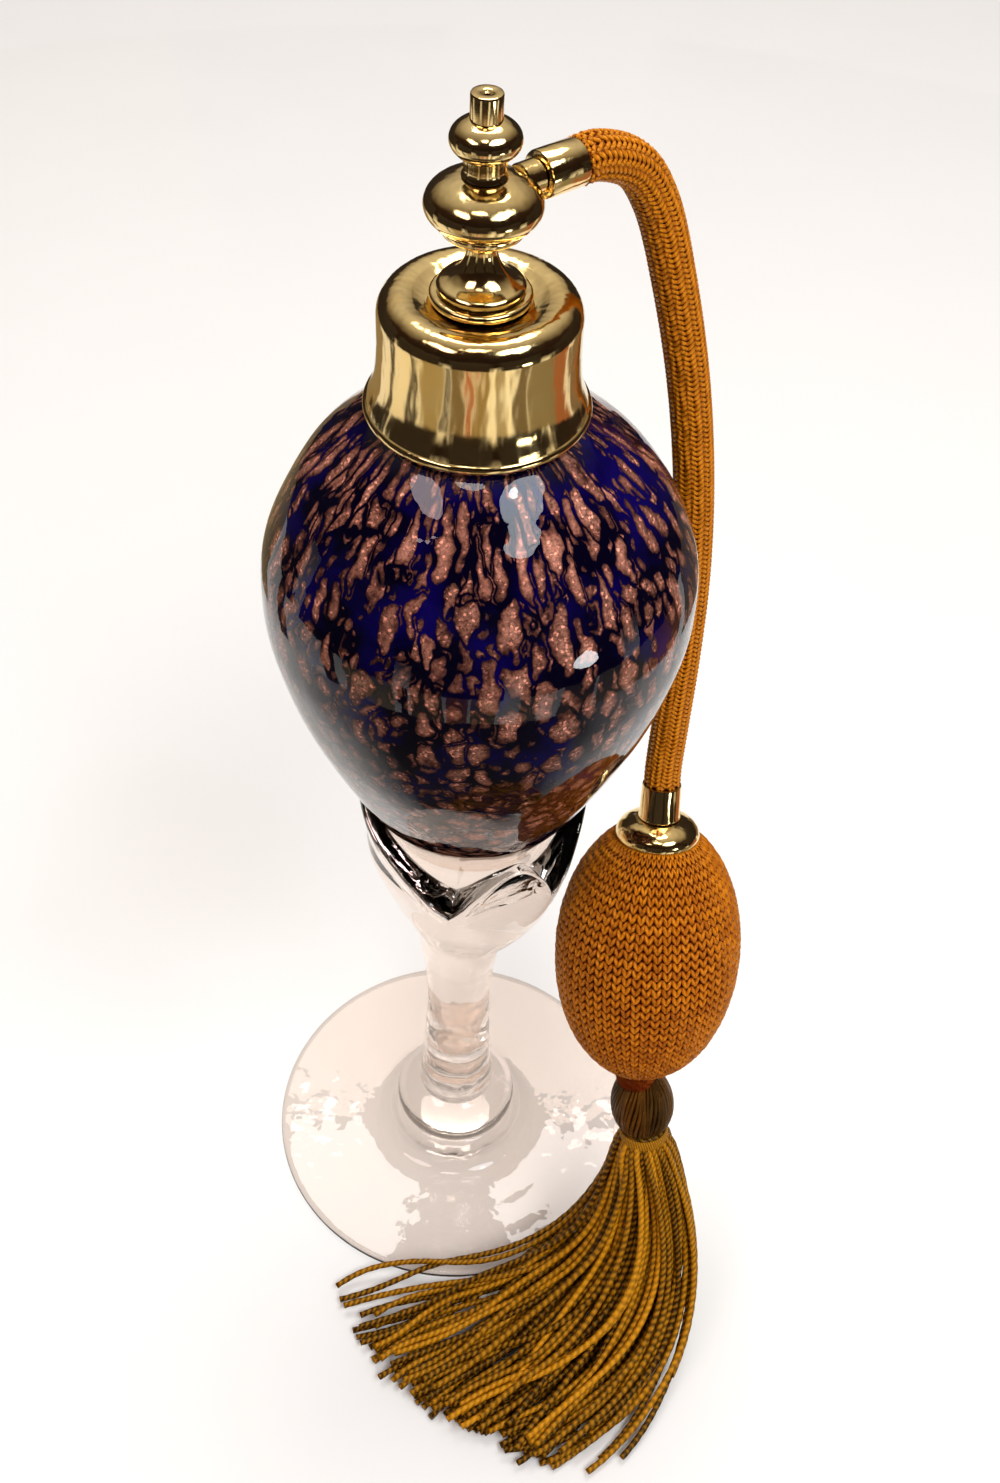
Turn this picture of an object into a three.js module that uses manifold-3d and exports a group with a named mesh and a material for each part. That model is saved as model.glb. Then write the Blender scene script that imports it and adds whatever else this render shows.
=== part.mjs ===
// Perfume atomiser: a goblet-stemmed art-glass bottle with a screw-on metal collar and spray head,
// a braided hose, a netted squeeze bulb and a tassel. Millimetres, +Z up, the foot stands on z = 0.
import * as THREE from 'three';
import { mergeVertices } from 'three/addons/utils/BufferGeometryUtils.js';
import Module from 'manifold-3d';

const wasm = await Module();
wasm.setup();

// ---- driving dimensions -------------------------------------------------------------------------
const GAP = 0.15; // clearance between pieces that touch
const GLASS_SIDES = 36;
const METAL_SIDES = 28;
const SMALL_SIDES = 18;

const FOOT_RADIUS = 35;
const FOOT_RIM = 1.7;
const KNOP_Z = 11; // centre of the ball at the foot of the stem
const KNOP_RADIUS = 11.4;
const FOOT_TOP = 5.2;
const STEM_TOP = 60.7;
const EGG_BOTTOM = 80;
const EGG_RADIUS = 30;
const EGG_WIDEST_Z = 146;
const CAVITY_BOTTOM = 104;
const NECK_RADIUS = 8;
const NECK_BORE = 6.2;
const NECK_TOP = 186.6;

// Where the cup is open between its hand-pulled petals, and the petal tips after each, in degrees.
const NOTCHES = [-100, -38, 52, 145];
const TIPS = [-64, 8, 98, 198];
const NOTCH_Z = 86.5;
const PETAL_TIP_Z = 101;
const CUP_RADIUS = 18;
const PETAL_REACH = 62; // the widest turn from a notch to a petal tip that its gap is cut to, in degrees
const PETAL_BEND = 0.34; // where a petal's edge bends, as a share of the way to its tip
const PETAL_BEND_Z = 95;

const THREAD_PITCH = 3;
const THREAD_RADIUS = 0.5; // half thickness of the round thread
const SLEEVE_RADIUS = 9.2;
const LINER_BORE = 10.15;
const LINER_RADIUS = 11.55;

const COLLAR_RIM_Z = 175.2;
const COLLAR_RIM_RADIUS = 14.4;
const COLLAR_RADIUS = 12.5;
const COLLAR_TOP_Z = 191.6;
const COLLAR_DISH_Z = 190.7;
const COLLAR_WALL = 0.6;
const COLLAR_HOLE = 3.3;

const SHANK_RADIUS = 3; // part of the head that goes through the collar
const SHANK_BOTTOM = 183.6;
const FLANGE_RADIUS = 6.3;
const FLANGE_Z = 190.85;
const HEAD_BASE_Z = 192;
const LOWER_KNOB_Z = 203;
const LOWER_KNOB_RADIUS = 6.95;
const LOWER_KNOB_HALF = 3.6;
const UPPER_KNOB_Z = 210.7;
const UPPER_KNOB_RADIUS = 4.15;
const UPPER_KNOB_HALF = 2.53;
const POST_RADIUS = 1.87;
const TOTAL_HEIGHT = 216;

const TUBE_RADIUS = 1.25; // dip tube
const TUBE_BORE = 0.8;
const TUBE_BOTTOM = 106.5;
const TUBE_TOP = 200;

const ARM_TURN = THREE.MathUtils.degToRad(38);
const ARM_Z = 204;
const BOSS_RADIUS = 2.1;
const BOSS_END = 7.7; // distances along the arm are from the bottle's axis
const FERRULE_RADIUS = 2.85;
const FERRULE_END = 13.5;
const NIPPLE_RADIUS = 1.15;

const HOSE_RADIUS = 2.95;
const HOSE_BORE = 1.25;
const RUBBER_RADIUS = 2;
const HOSE_SIDES = 10;
const HOSE_STEPS = 24;

const BULB_CENTRE = new THREE.Vector3(31.4, -9.2, 72.6);
const BULB_TILT = THREE.MathUtils.degToRad(22);
const BULB_RADIUS = 15.5;
const BULB_HALF = 24.7;
const NET_THICKNESS = 1.2;
const BULB_WALL = 2;
const NET_TOP = 21.9; // heights in the bulb's own frame, centre at 0
const FERRULE_FOOT = 25.4;
const FERRULE_HEAD = 31.3;
const DOME_RADIUS = 6.8;
const DOME_WALL = 0.5;

const VALVE_RADIUS = 2.5;
const VALVE_LENGTH = 6.6;
const VALVE_BALL = 1.4;
const VALVE_CHAMBER = 1.75;
const VALVE_PORT = 0.9;
const OUTLET_FOOT = 17.6;
const INLET_FOOT = -22.7;

const TASSEL_HEAD_CENTRE = new THREE.Vector3(33.2, -20.4, 41.2);
const TASSEL_HEAD_UP = new THREE.Vector3(-0.13, 0.25, 0.96).normalize();
const TASSEL_HEAD_RADIUS = 5.6;
const TASSEL_HEAD_HALF = 5.4;
const TASSEL_CORD_RADIUS = 0.9;
const BINDING_RADIUS = 4.5;
const BINDING_HEIGHT = 1.8;
const TASSEL_REST = 0.35; // the skirt's clearance over the table
const TASSEL_OVER_FOOT = 4.3; // and its height where it crosses the foot

// ---- materials ----------------------------------------------------------------------------------
function finish(color, roughness, metalness) {
  return new THREE.MeshStandardMaterial({ color, roughness, metalness });
}

const clearGlass = finish(0xf1eeee, 0.05, 0);
const artGlass = finish(0x2a1560, 0.06, 0.1);
const gold = finish(0xd9b25a, 0.12, 1);
const brass = finish(0xb98f3e, 0.3, 1);
const whitePlastic = finish(0xece8dc, 0.45, 0);
const tubePlastic = finish(0xdfe3e3, 0.35, 0);
const blackRubber = finish(0x2b2724, 0.75, 0);
const greyRubber = finish(0x6b6660, 0.7, 0);
const goldBraid = finish(0xb9760f, 0.55, 0.1);
const goldNet = finish(0xb87410, 0.6, 0.1);
const tasselThread = finish(0x8a5410, 0.6, 0);
const steelBall = finish(0xc9ccd0, 0.2, 1);

// ---- shared shapes ------------------------------------------------------------------------------
// A list of [radius, height] pairs as points.
function outline(pairs) {
  return pairs.map(([r, z]) => new THREE.Vector2(r, z));
}

// A smooth curve through [radius, height] pairs, as count + 1 points.
function smooth(pairs, count) {
  return new THREE.SplineCurve(outline(pairs)).getPoints(count);
}

// Part of an upright ellipse centred on (r0, z0), from one angle to another in degrees.
function arc(r0, z0, halfWidth, halfHeight, from, to, count) {
  const points = [];
  for (let i = 0; i <= count; i += 1) {
    const a = THREE.MathUtils.degToRad(from + ((to - from) * i) / count);
    points.push(new THREE.Vector2(r0 + halfWidth * Math.cos(a), z0 + halfHeight * Math.sin(a)));
  }
  return points;
}

// Turns an outline round the Z axis. The outline runs up the outside and down the inside.
function turned(points, sides) {
  const geometry = new THREE.LatheGeometry(points, sides);
  geometry.rotateX(Math.PI / 2);
  return geometry;
}

// Turns an outline that doesn't touch the axis, joining its end to its start.
function turnedRing(points, sides) {
  return turned([...points, points[0].clone()], sides);
}

function circlePoints(radius, sides) {
  const points = [];
  for (let i = 0; i < sides; i += 1) {
    const a = (2 * Math.PI * i) / sides;
    points.push(new THREE.Vector2(radius * Math.cos(a), radius * Math.sin(a)));
  }
  return points;
}

// A round tube, or a rod when the bore is 0, along a curve.
function along(extrudePath, radius, bore, sides, steps) {
  const section = new THREE.Shape(circlePoints(radius, sides));
  if (bore > 0) {
    section.holes.push(new THREE.Path(circlePoints(bore, sides)));
  }
  return new THREE.ExtrudeGeometry(section, { extrudePath, steps, bevelEnabled: false });
}

function toSolid(geometry) {
  const bare = geometry.clone();
  bare.deleteAttribute('normal');
  bare.deleteAttribute('uv');
  const merged = mergeVertices(bare, 1e-4);
  const vertProperties = new Float32Array(merged.attributes.position.array);
  const triVerts = new Uint32Array(merged.index.array);
  return new wasm.Manifold(new wasm.Mesh({ numProp: 3, vertProperties, triVerts }));
}

function fromSolid(solid) {
  const mesh = solid.getMesh();
  const geometry = new THREE.BufferGeometry();
  geometry.setAttribute('position', new THREE.BufferAttribute(mesh.vertProperties, 3));
  geometry.setIndex(new THREE.BufferAttribute(mesh.triVerts, 1));
  geometry.computeVertexNormals();
  return geometry;
}

// A cylinder lying along the side arm, between two distances from the bottle's axis.
function armCylinder(radius, from, to) {
  const geometry = new THREE.CylinderGeometry(radius, radius, to - from, SMALL_SIDES);
  geometry.rotateZ(-Math.PI / 2);
  geometry.translate((from + to) / 2, 0, 0);
  geometry.rotateZ(ARM_TURN);
  geometry.translate(0, 0, ARM_Z);
  return geometry;
}

function mesh(name, geometry, material) {
  const piece = new THREE.Mesh(geometry, material);
  piece.name = name;
  return piece;
}

// ---- glass --------------------------------------------------------------------------------------
function foot() {
  const rim = arc(FOOT_RADIUS - FOOT_RIM / 2, FOOT_RIM / 2, FOOT_RIM / 2, FOOT_RIM / 2, -90, 90, 5);
  const dome = smooth([[33.8, 1.75], [26, 2.1], [19, 2.6], [15.6, 3.2], [13.6, 4.2], [12.6, FOOT_TOP]], 9);
  const points = [...outline([[0, 0]]), ...rim, ...dome, ...outline([[0, FOOT_TOP]])];
  return mesh('glass_foot', turned(points, 48), clearGlass);
}

function stem() {
  const knop = arc(0, KNOP_Z, KNOP_RADIUS, 6.9, -57, 52, 8);
  const shaft = smooth([
    [6.9, 18.2], [6.9, 20.4], [6.35, 23.6], [6.2, 29], [5.9, 37], [5.7, 45], [6.2, 54], [7, STEM_TOP],
  ], 9);
  const points = [...outline([[0, FOOT_TOP + 0.02]]), ...knop, ...shaft, ...outline([[0, STEM_TOP]])];
  return mesh('glass_stem', turned(points, 28), clearGlass);
}

// The wedge-shaped gap between two petals, cut outwards from the axis. Its half widths reach the
// petal tips before and after it, which are turned from it by two angles in degrees.
function notch(turn, toBefore, toAfter) {
  const before = -CUP_RADIUS * Math.sin(THREE.MathUtils.degToRad(Math.min(toBefore, PETAL_REACH)));
  const after = CUP_RADIUS * Math.sin(THREE.MathUtils.degToRad(Math.min(toAfter, PETAL_REACH)));
  const top = PETAL_TIP_Z + 5;
  const shape = new THREE.Shape();
  shape.moveTo(0, NOTCH_Z);
  shape.quadraticCurveTo(after * PETAL_BEND, PETAL_BEND_Z, after, PETAL_TIP_Z);
  shape.lineTo(after, top);
  shape.lineTo(before, top);
  shape.lineTo(before, PETAL_TIP_Z);
  shape.quadraticCurveTo(before * PETAL_BEND, PETAL_BEND_Z, 0, NOTCH_Z);
  const geometry = new THREE.ExtrudeGeometry(shape, { depth: 20, bevelEnabled: false, curveSegments: 6 });
  geometry.rotateX(Math.PI / 2);
  geometry.translate(0, -4, 0);
  geometry.rotateZ(THREE.MathUtils.degToRad(turn) + Math.PI / 2);
  return geometry;
}

function calyx() {
  const outside = smooth([
    [7, STEM_TOP + 0.02], [9.1, 66.5], [12.7, 72.2], [15, 78], [16.4, 83.4], [17.4, 88.6], [17.8, 94],
    [CUP_RADIUS, PETAL_TIP_Z],
  ], 10);
  const inside = smooth([
    [15.9, PETAL_TIP_Z + 0.5], [14, 97], [12.1, 92.1], [9.4, 86], [5.5, 81.2], [0, 79.6],
  ], 9);
  const bottom = outline([[0, STEM_TOP + 0.02]]);
  let cup = toSolid(turned([...bottom, ...outside, ...inside], GLASS_SIDES));
  for (let i = 0; i < NOTCHES.length; i += 1) {
    const tipBefore = i === 0 ? TIPS[TIPS.length - 1] - 360 : TIPS[i - 1];
    cup = cup.subtract(toSolid(notch(NOTCHES[i], NOTCHES[i] - tipBefore, TIPS[i] - NOTCHES[i])));
  }
  return mesh('glass_calyx', fromSolid(cup), clearGlass);
}

function vessel() {
  const outside = smooth([
    [0, EGG_BOTTOM], [5.2, 81.7], [9, 86.4], [11.6, 92.2], [13.25, 98], [19.5, 110], [26, 126],
    [29.2, 138], [EGG_RADIUS, EGG_WIDEST_Z], [29, 154], [24, 164], [18.2, 170.2], [13.6, 174.1],
    [9.6, 176], [NECK_RADIUS, 178.4],
  ], 24);
  const inside = smooth([
    [NECK_BORE, 178], [7, 175.4], [10, 173], [15.5, 169.2], [21, 163.6], [25.6, 154.5], [26.8, 146],
    [25.8, 137], [23, 127.5], [17.6, 115.5], [11.5, 107.3], [0, CAVITY_BOTTOM],
  ], 15);
  const neck = outline([
    [NECK_RADIUS, NECK_TOP - 0.5], [NECK_RADIUS - 0.4, NECK_TOP], [NECK_BORE + 0.4, NECK_TOP],
    [NECK_BORE, NECK_TOP - 0.4],
  ]);
  return mesh('glass_vessel', turned([...outside, ...neck, ...inside], GLASS_SIDES), artGlass);
}

// ---- collar and its thread ----------------------------------------------------------------------
// A round ridge that climbs to the right round the axis, starting at a height and an angle.
function threadRidge(radius, bottom, turns, startAngle) {
  const points = [];
  const steps = Math.round(turns * SMALL_SIDES);
  for (let i = 0; i <= steps; i += 1) {
    const a = startAngle + (2 * Math.PI * i) / SMALL_SIDES;
    const z = bottom + (THREAD_PITCH * i) / SMALL_SIDES;
    points.push(new THREE.Vector3(radius * Math.cos(a), radius * Math.sin(a), z));
  }
  return along(new THREE.CatmullRomCurve3(points), THREAD_RADIUS, 0, 8, steps);
}

function neckSleeve() {
  const bore = NECK_RADIUS + GAP;
  const ring = turnedRing(outline([
    [bore, 178.8], [SLEEVE_RADIUS, 178.8], [SLEEVE_RADIUS, NECK_TOP - 0.3], [bore, NECK_TOP - 0.3],
  ]), METAL_SIDES);
  const ridge = threadRidge(SLEEVE_RADIUS + 0.2, 179.8, 2, 0);
  return mesh('neck_sleeve', fromSolid(toSolid(ring).add(toSolid(ridge))), brass);
}

function collarLiner() {
  const top = COLLAR_DISH_Z - COLLAR_WALL - 2 * GAP;
  const ring = turnedRing(outline([
    [LINER_BORE, 179.4], [LINER_RADIUS, 179.4], [LINER_RADIUS, 187.6], [LINER_RADIUS - 0.9, top],
    [LINER_BORE, top],
  ]), METAL_SIDES);
  const ridge = threadRidge(LINER_BORE - 0.05, 179.8 + THREAD_PITCH / 2, 2, 0);
  return mesh('collar_liner', fromSolid(toSolid(ring).add(toSolid(ridge))), whitePlastic);
}

function collarShell() {
  const w = COLLAR_WALL;
  const shoulder = 3;
  const points = [
    ...outline([[COLLAR_RIM_RADIUS - 0.9, COLLAR_RIM_Z]]),
    ...arc(COLLAR_RIM_RADIUS - 0.7, COLLAR_RIM_Z + 0.7, 0.7, 0.7, -90, 70, 4),
    ...smooth([[13.75, 177.2], [13.05, 179.2], [12.7, 181.6], [COLLAR_RADIUS, 185]], 4),
    ...arc(COLLAR_RADIUS - shoulder, COLLAR_TOP_Z - shoulder, shoulder, shoulder, 0, 90, 5),
    ...smooth([[8.3, 191.35], [7.3, 190.9], [6.6, COLLAR_DISH_Z]], 3),
    ...outline([[COLLAR_HOLE, COLLAR_DISH_Z], [COLLAR_HOLE, COLLAR_DISH_Z - w], [7.2, COLLAR_DISH_Z - w]]),
    ...arc(COLLAR_RADIUS - shoulder, COLLAR_TOP_Z - shoulder, shoulder - w, shoulder - w, 85, 0, 4),
    ...smooth([[COLLAR_RADIUS - w, 185], [12.1, 181.6], [12.45, 179.2], [13.1, 177]], 4),
  ];
  return mesh('collar_shell', turnedRing(points, METAL_SIDES), gold);
}

// ---- spray head ---------------------------------------------------------------------------------
function washerRing(name, bore, radius, bottom, top, material) {
  const points = outline([[bore, bottom], [radius, bottom], [radius, top], [bore, top]]);
  return mesh(name, turnedRing(points, METAL_SIDES), material);
}

function flangeRing() {
  const height = HEAD_BASE_Z - FLANGE_Z;
  const edge = height / 2;
  const points = [
    ...outline([[SHANK_RADIUS + GAP, FLANGE_Z]]),
    ...arc(FLANGE_RADIUS - edge, FLANGE_Z + edge, edge, edge, -90, 90, 5),
    ...outline([[SHANK_RADIUS + GAP, HEAD_BASE_Z]]),
  ];
  return mesh('flange_ring', turnedRing(points, METAL_SIDES), gold);
}

function turret() {
  const bore = TUBE_RADIUS + GAP;
  const base = HEAD_BASE_Z + 0.05;
  const points = [
    ...outline([
      [bore, SHANK_BOTTOM], [SHANK_RADIUS, SHANK_BOTTOM], [SHANK_RADIUS, base], [5.35, base], [5.35, 192.9],
    ]),
    ...smooth([
      [5, 193.15], [3.8, 193.75], [2.65, 194.9], [2, 196.4], [1.85, 197.7], [2.2, 198.9], [3.4, 199.5],
    ], 8),
    ...outline([[4.7, 199.6], [4.95, 199.9], [4.95, 200.4], [4.8, 200.7]]),
    ...arc(0, LOWER_KNOB_Z, LOWER_KNOB_RADIUS, LOWER_KNOB_HALF, -39, 63, 9),
    ...outline([[2.4, 206.3], [2.4, 201], [bore, 200.2]]),
  ];
  const body = toSolid(turnedRing(points, METAL_SIDES));
  const boss = toSolid(armCylinder(BOSS_RADIUS, 5, BOSS_END));
  const hole = toSolid(armCylinder(NIPPLE_RADIUS + GAP, 1.6, BOSS_END + 1));
  return mesh('turret_head', fromSolid(body.add(boss).subtract(hole)), gold);
}

function upperKnob() {
  const seat = 206.35;
  const points = [
    ...outline([[1.2, 205.6], [2.25, 205.6], [2.25, seat], [2.7, seat], [2.45, 206.9], [2.5, 208]]),
    ...arc(0, UPPER_KNOB_Z, UPPER_KNOB_RADIUS, UPPER_KNOB_HALF, -50, 62, 8),
    ...outline([[1.2, 212.95]]),
  ];
  return mesh('upper_knob', turnedRing(points, 26), gold);
}

function nozzlePost() {
  const chamfer = 0.25;
  const seat = 213;
  const points = outline([
    [0.75, 211.6], [1.1, 211.6], [1.1, seat], [POST_RADIUS, seat], [POST_RADIUS, TOTAL_HEIGHT - chamfer],
    [POST_RADIUS - chamfer, TOTAL_HEIGHT], [0.8, TOTAL_HEIGHT], [0.35, TOTAL_HEIGHT - 0.35],
    [0.35, TOTAL_HEIGHT - 0.8], [0.75, TOTAL_HEIGHT - 0.8],
  ]);
  return mesh('nozzle_post', turnedRing(points, SMALL_SIDES), gold);
}

function nozzleJet() {
  const points = outline([[0.25, 212.4], [0.62, 212.4], [0.62, 214.6], [0.4, 215], [0.25, 215]]);
  return mesh('nozzle_jet', turnedRing(points, 16), brass);
}

function dipTube() {
  const points = outline([
    [TUBE_BORE, TUBE_BOTTOM], [TUBE_RADIUS, TUBE_BOTTOM], [TUBE_RADIUS, TUBE_TOP], [TUBE_BORE, TUBE_TOP],
  ]);
  return mesh('dip_tube', turnedRing(points, 16), tubePlastic);
}

// ---- side arm: pieces stand on their own axis, then lie along the arm ---------------------------
function hoseNipple() {
  const barb = 0.2;
  const points = [...outline([[0.6, 3], [NIPPLE_RADIUS, 3], [NIPPLE_RADIUS, 8.9]])];
  for (let z = 8.9; z < 11; z += 0.9) {
    points.push(new THREE.Vector2(NIPPLE_RADIUS - barb, z + 0.1));
    points.push(new THREE.Vector2(NIPPLE_RADIUS, z + 0.8));
  }
  points.push(new THREE.Vector2(0.6, 11.7));
  return mesh('hose_nipple', turnedRing(points, SMALL_SIDES), brass);
}

function hoseFerrule() {
  const foot = BOSS_END + GAP;
  const wall = 0.35;
  const points = outline([
    [NIPPLE_RADIUS + GAP, foot], [FERRULE_RADIUS - 0.2, foot], [FERRULE_RADIUS, foot + 0.25],
    [FERRULE_RADIUS, FERRULE_END - 0.15], [FERRULE_RADIUS - 0.15, FERRULE_END],
    [FERRULE_RADIUS - wall, FERRULE_END], [FERRULE_RADIUS - wall, foot + 0.6], [NIPPLE_RADIUS + GAP, foot + 0.6],
  ]);
  return mesh('hose_ferrule', turnedRing(points, METAL_SIDES), gold);
}

function armGroup() {
  const lying = new THREE.Group();
  lying.rotation.y = Math.PI / 2;
  lying.add(hoseNipple(), hoseFerrule());
  const arm = new THREE.Group();
  arm.position.z = ARM_Z;
  arm.rotation.z = ARM_TURN;
  arm.add(lying);
  return arm;
}

// ---- hose ---------------------------------------------------------------------------------------
function onArm(distance) {
  return new THREE.Vector3(distance * Math.cos(ARM_TURN), distance * Math.sin(ARM_TURN), ARM_Z);
}

function onBulbAxis(height) {
  const up = new THREE.Vector3(0, Math.sin(BULB_TILT), Math.cos(BULB_TILT));
  return BULB_CENTRE.clone().addScaledVector(up, height);
}

const hoseRoute = new THREE.CatmullRomCurve3([
  onArm(FERRULE_END + GAP),
  onArm(FERRULE_END + 2.5),
  new THREE.Vector3(17.6, 13.6, 201.2),
  new THREE.Vector3(21.1, 15.6, 195.4),
  new THREE.Vector3(25, 16.4, 183),
  new THREE.Vector3(28.6, 15.8, 167.8),
  new THREE.Vector3(31, 13.9, 152.3),
  new THREE.Vector3(32.1, 11.3, 138),
  new THREE.Vector3(32.1, 8.2, 124.5),
  new THREE.Vector3(31.7, 5.6, 112),
  onBulbAxis(FERRULE_HEAD + 3),
  onBulbAxis(FERRULE_HEAD + GAP),
], false, 'centripetal');

function hose() {
  const sleeve = along(hoseRoute, HOSE_RADIUS, RUBBER_RADIUS + GAP, HOSE_SIDES, HOSE_STEPS);
  const rubber = along(hoseRoute, RUBBER_RADIUS, HOSE_BORE, HOSE_SIDES, HOSE_STEPS);
  return [mesh('braid_sleeve', sleeve, goldBraid), mesh('rubber_hose', rubber, blackRubber)];
}

// ---- squeeze bulb: heights are in its own frame -------------------------------------------------
function bulbFerrule() {
  const wall = 0.35;
  const points = outline([
    [3.25 - wall, FERRULE_FOOT], [3.4, FERRULE_FOOT], [3.25, FERRULE_FOOT + 0.6], [3.15, FERRULE_HEAD - 0.2],
    [2.95, FERRULE_HEAD], [3.15 - 2 * wall, FERRULE_HEAD],
  ]);
  return mesh('bulb_ferrule', turnedRing(points, SMALL_SIDES), gold);
}

function bulbDome() {
  const rim = NET_TOP + GAP;
  const height = FERRULE_FOOT - GAP - rim;
  const eye = VALVE_RADIUS + GAP;
  const points = [
    ...arc(eye, rim + 0.35, DOME_RADIUS - eye, height - 0.35, 0, 90, 6),
    ...arc(eye, rim, DOME_RADIUS - DOME_WALL - eye, height - DOME_WALL, 90, 0, 5),
    ...outline([[DOME_RADIUS - 0.15, rim]]),
  ];
  return mesh('bulb_dome', turnedRing(points, 26), gold);
}

// A wall of the bulb: an egg-shaped outline set in by a distance, between two angles in degrees.
function bulbWall(inset, from, to, count) {
  return arc(0, 0, BULB_RADIUS - inset, BULB_HALF - inset, from, to, count);
}

function netCover() {
  const tail = -25.8;
  const points = [
    ...outline([[1.4, tail], [2.8, tail], [3, tail + 0.9]]),
    ...bulbWall(0, -77, 58, 13),
    ...outline([[DOME_RADIUS, NET_TOP], [5.7, NET_TOP]]),
    ...bulbWall(NET_THICKNESS, 62, -74, 12),
    ...outline([[1.4, -23.5]]),
  ];
  return mesh('net_cover', turnedRing(points, 22), goldNet);
}

function rubberBulb() {
  const inset = NET_THICKNESS + 2 * GAP;
  const hole = VALVE_RADIUS + GAP;
  const points = [
    ...outline([[hole, -22.5]]),
    ...bulbWall(inset, -74, 62, 12),
    ...outline([[4.8, 21.3], [4.4, 23.4], [hole, 23.4], [hole, 19.6]]),
    ...bulbWall(inset + BULB_WALL, 56, -66, 10),
    ...outline([[hole, -20.4]]),
  ];
  return mesh('rubber_bulb', turnedRing(points, 22), greyRubber);
}

// A one-way ball valve: a tube with a coned seat at its foot and a narrower mouth at its top.
function valveBody(name, foot) {
  const seat = foot + 0.8;
  const cone = VALVE_CHAMBER - VALVE_PORT;
  const top = foot + VALVE_LENGTH;
  const points = outline([
    [VALVE_PORT, foot], [VALVE_RADIUS, foot], [VALVE_RADIUS, top], [VALVE_PORT, top], [VALVE_PORT, top - 1.2],
    [VALVE_CHAMBER, top - 1.2], [VALVE_CHAMBER, seat + cone], [VALVE_PORT, seat],
  ]);
  return mesh(name, turnedRing(points, SMALL_SIDES), brass);
}

function valveBall(name, foot) {
  const ball = mesh(name, new THREE.SphereGeometry(VALVE_BALL, 12, 8), steelBall);
  const seat = foot + 0.8;
  ball.position.z = seat - VALVE_PORT + VALVE_BALL * Math.SQRT2 + GAP;
  return ball;
}

function bulbGroup() {
  const group = new THREE.Group();
  group.position.copy(BULB_CENTRE);
  group.rotation.x = -BULB_TILT;
  group.add(bulbFerrule(), bulbDome(), netCover(), rubberBulb());
  group.add(valveBody('outlet_valve', OUTLET_FOOT), valveBall('outlet_ball', OUTLET_FOOT));
  group.add(valveBody('inlet_valve', INLET_FOOT), valveBall('inlet_ball', INLET_FOOT));
  return group;
}

// ---- tassel -------------------------------------------------------------------------------------
function onTassel(height) {
  return TASSEL_HEAD_CENTRE.clone().addScaledVector(TASSEL_HEAD_UP, height);
}

function tasselCord() {
  const route = new THREE.CatmullRomCurve3([
    onBulbAxis(-23.3), onBulbAxis(-25.6), onTassel(TASSEL_HEAD_HALF + 0.6), onTassel(0),
    onTassel(-TASSEL_HEAD_HALF),
  ], false, 'centripetal');
  return mesh('tassel_cord', along(route, TASSEL_CORD_RADIUS, 0, 8, 10), tasselThread);
}

function tasselHead() {
  const hole = TASSEL_CORD_RADIUS + 0.5;
  const points = [
    ...outline([[hole, -TASSEL_HEAD_HALF]]),
    ...arc(0, 0, TASSEL_HEAD_RADIUS, TASSEL_HEAD_HALF + 1.2, -54, 54, 7),
    ...outline([[hole, TASSEL_HEAD_HALF]]),
  ];
  return mesh('tassel_head', turnedRing(points, SMALL_SIDES), tasselThread);
}

function tasselBinding() {
  const top = -TASSEL_HEAD_HALF - GAP;
  const half = BINDING_HEIGHT / 2;
  const points = [
    ...arc(BINDING_RADIUS - half, top - half, half, half, -90, 90, 5),
    ...outline([[1.4, top], [1.4, top - BINDING_HEIGHT]]),
  ];
  return mesh('tassel_binding', turnedRing(points, SMALL_SIDES), goldBraid);
}

// The skirt's sections from the binding to its ends: centre, half width across the fan, half height.
const SKIRT_SECTIONS = [
  { centre: onTassel(-TASSEL_HEAD_HALF - BINDING_HEIGHT - 2 * GAP), halfWidth: 3.9, halfHeight: 3.9 },
  { centre: new THREE.Vector3(35, -24.6, 27), halfWidth: 7.6, halfHeight: 5.6 },
  { centre: new THREE.Vector3(34.6, -31, 17.6), halfWidth: 12.4, halfHeight: 6 },
  { centre: new THREE.Vector3(29, -38, 10.6), halfWidth: 18.4, halfHeight: 5.6 },
  { centre: new THREE.Vector3(20.6, -46, 6.4), halfWidth: 22, halfHeight: 4.4 },
  { centre: new THREE.Vector3(12.6, -52.6, 4), halfWidth: 23.6, halfHeight: 3 },
  { centre: new THREE.Vector3(6.4, -57, 2.3), halfWidth: 22, halfHeight: 1.8 },
];

function tasselSkirt() {
  const last = SKIRT_SECTIONS.length - 1;
  const geometry = new THREE.CylinderGeometry(1, 1, 1, 16, last);
  const position = geometry.attributes.position;
  const across = new THREE.Vector3(0.8, -0.6, 0);
  const v = new THREE.Vector3();
  for (let i = 0; i < position.count; i += 1) {
    v.fromBufferAttribute(position, i);
    const k = Math.round((0.5 - v.y) * last);
    const { centre, halfWidth, halfHeight } = SKIRT_SECTIONS[k];
    const before = SKIRT_SECTIONS[Math.max(0, k - 1)].centre;
    const after = SKIRT_SECTIONS[Math.min(last, k + 1)].centre;
    const lengthways = k === 0 ? TASSEL_HEAD_UP.clone().negate() : after.clone().sub(before).normalize();
    const side = across.clone().addScaledVector(lengthways, -across.dot(lengthways)).normalize();
    const over = new THREE.Vector3().crossVectors(lengthways, side);
    const point = centre.clone();
    point.addScaledVector(side, v.x * halfWidth);
    point.addScaledVector(over, v.z * halfHeight);
    const overFoot = Math.hypot(point.x, point.y) < FOOT_RADIUS + 1.5;
    point.z = Math.max(point.z, overFoot ? TASSEL_OVER_FOOT : TASSEL_REST);
    position.setXYZ(i, point.x, point.y, point.z);
  }
  return mesh('tassel_skirt', geometry, tasselThread);
}

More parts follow.
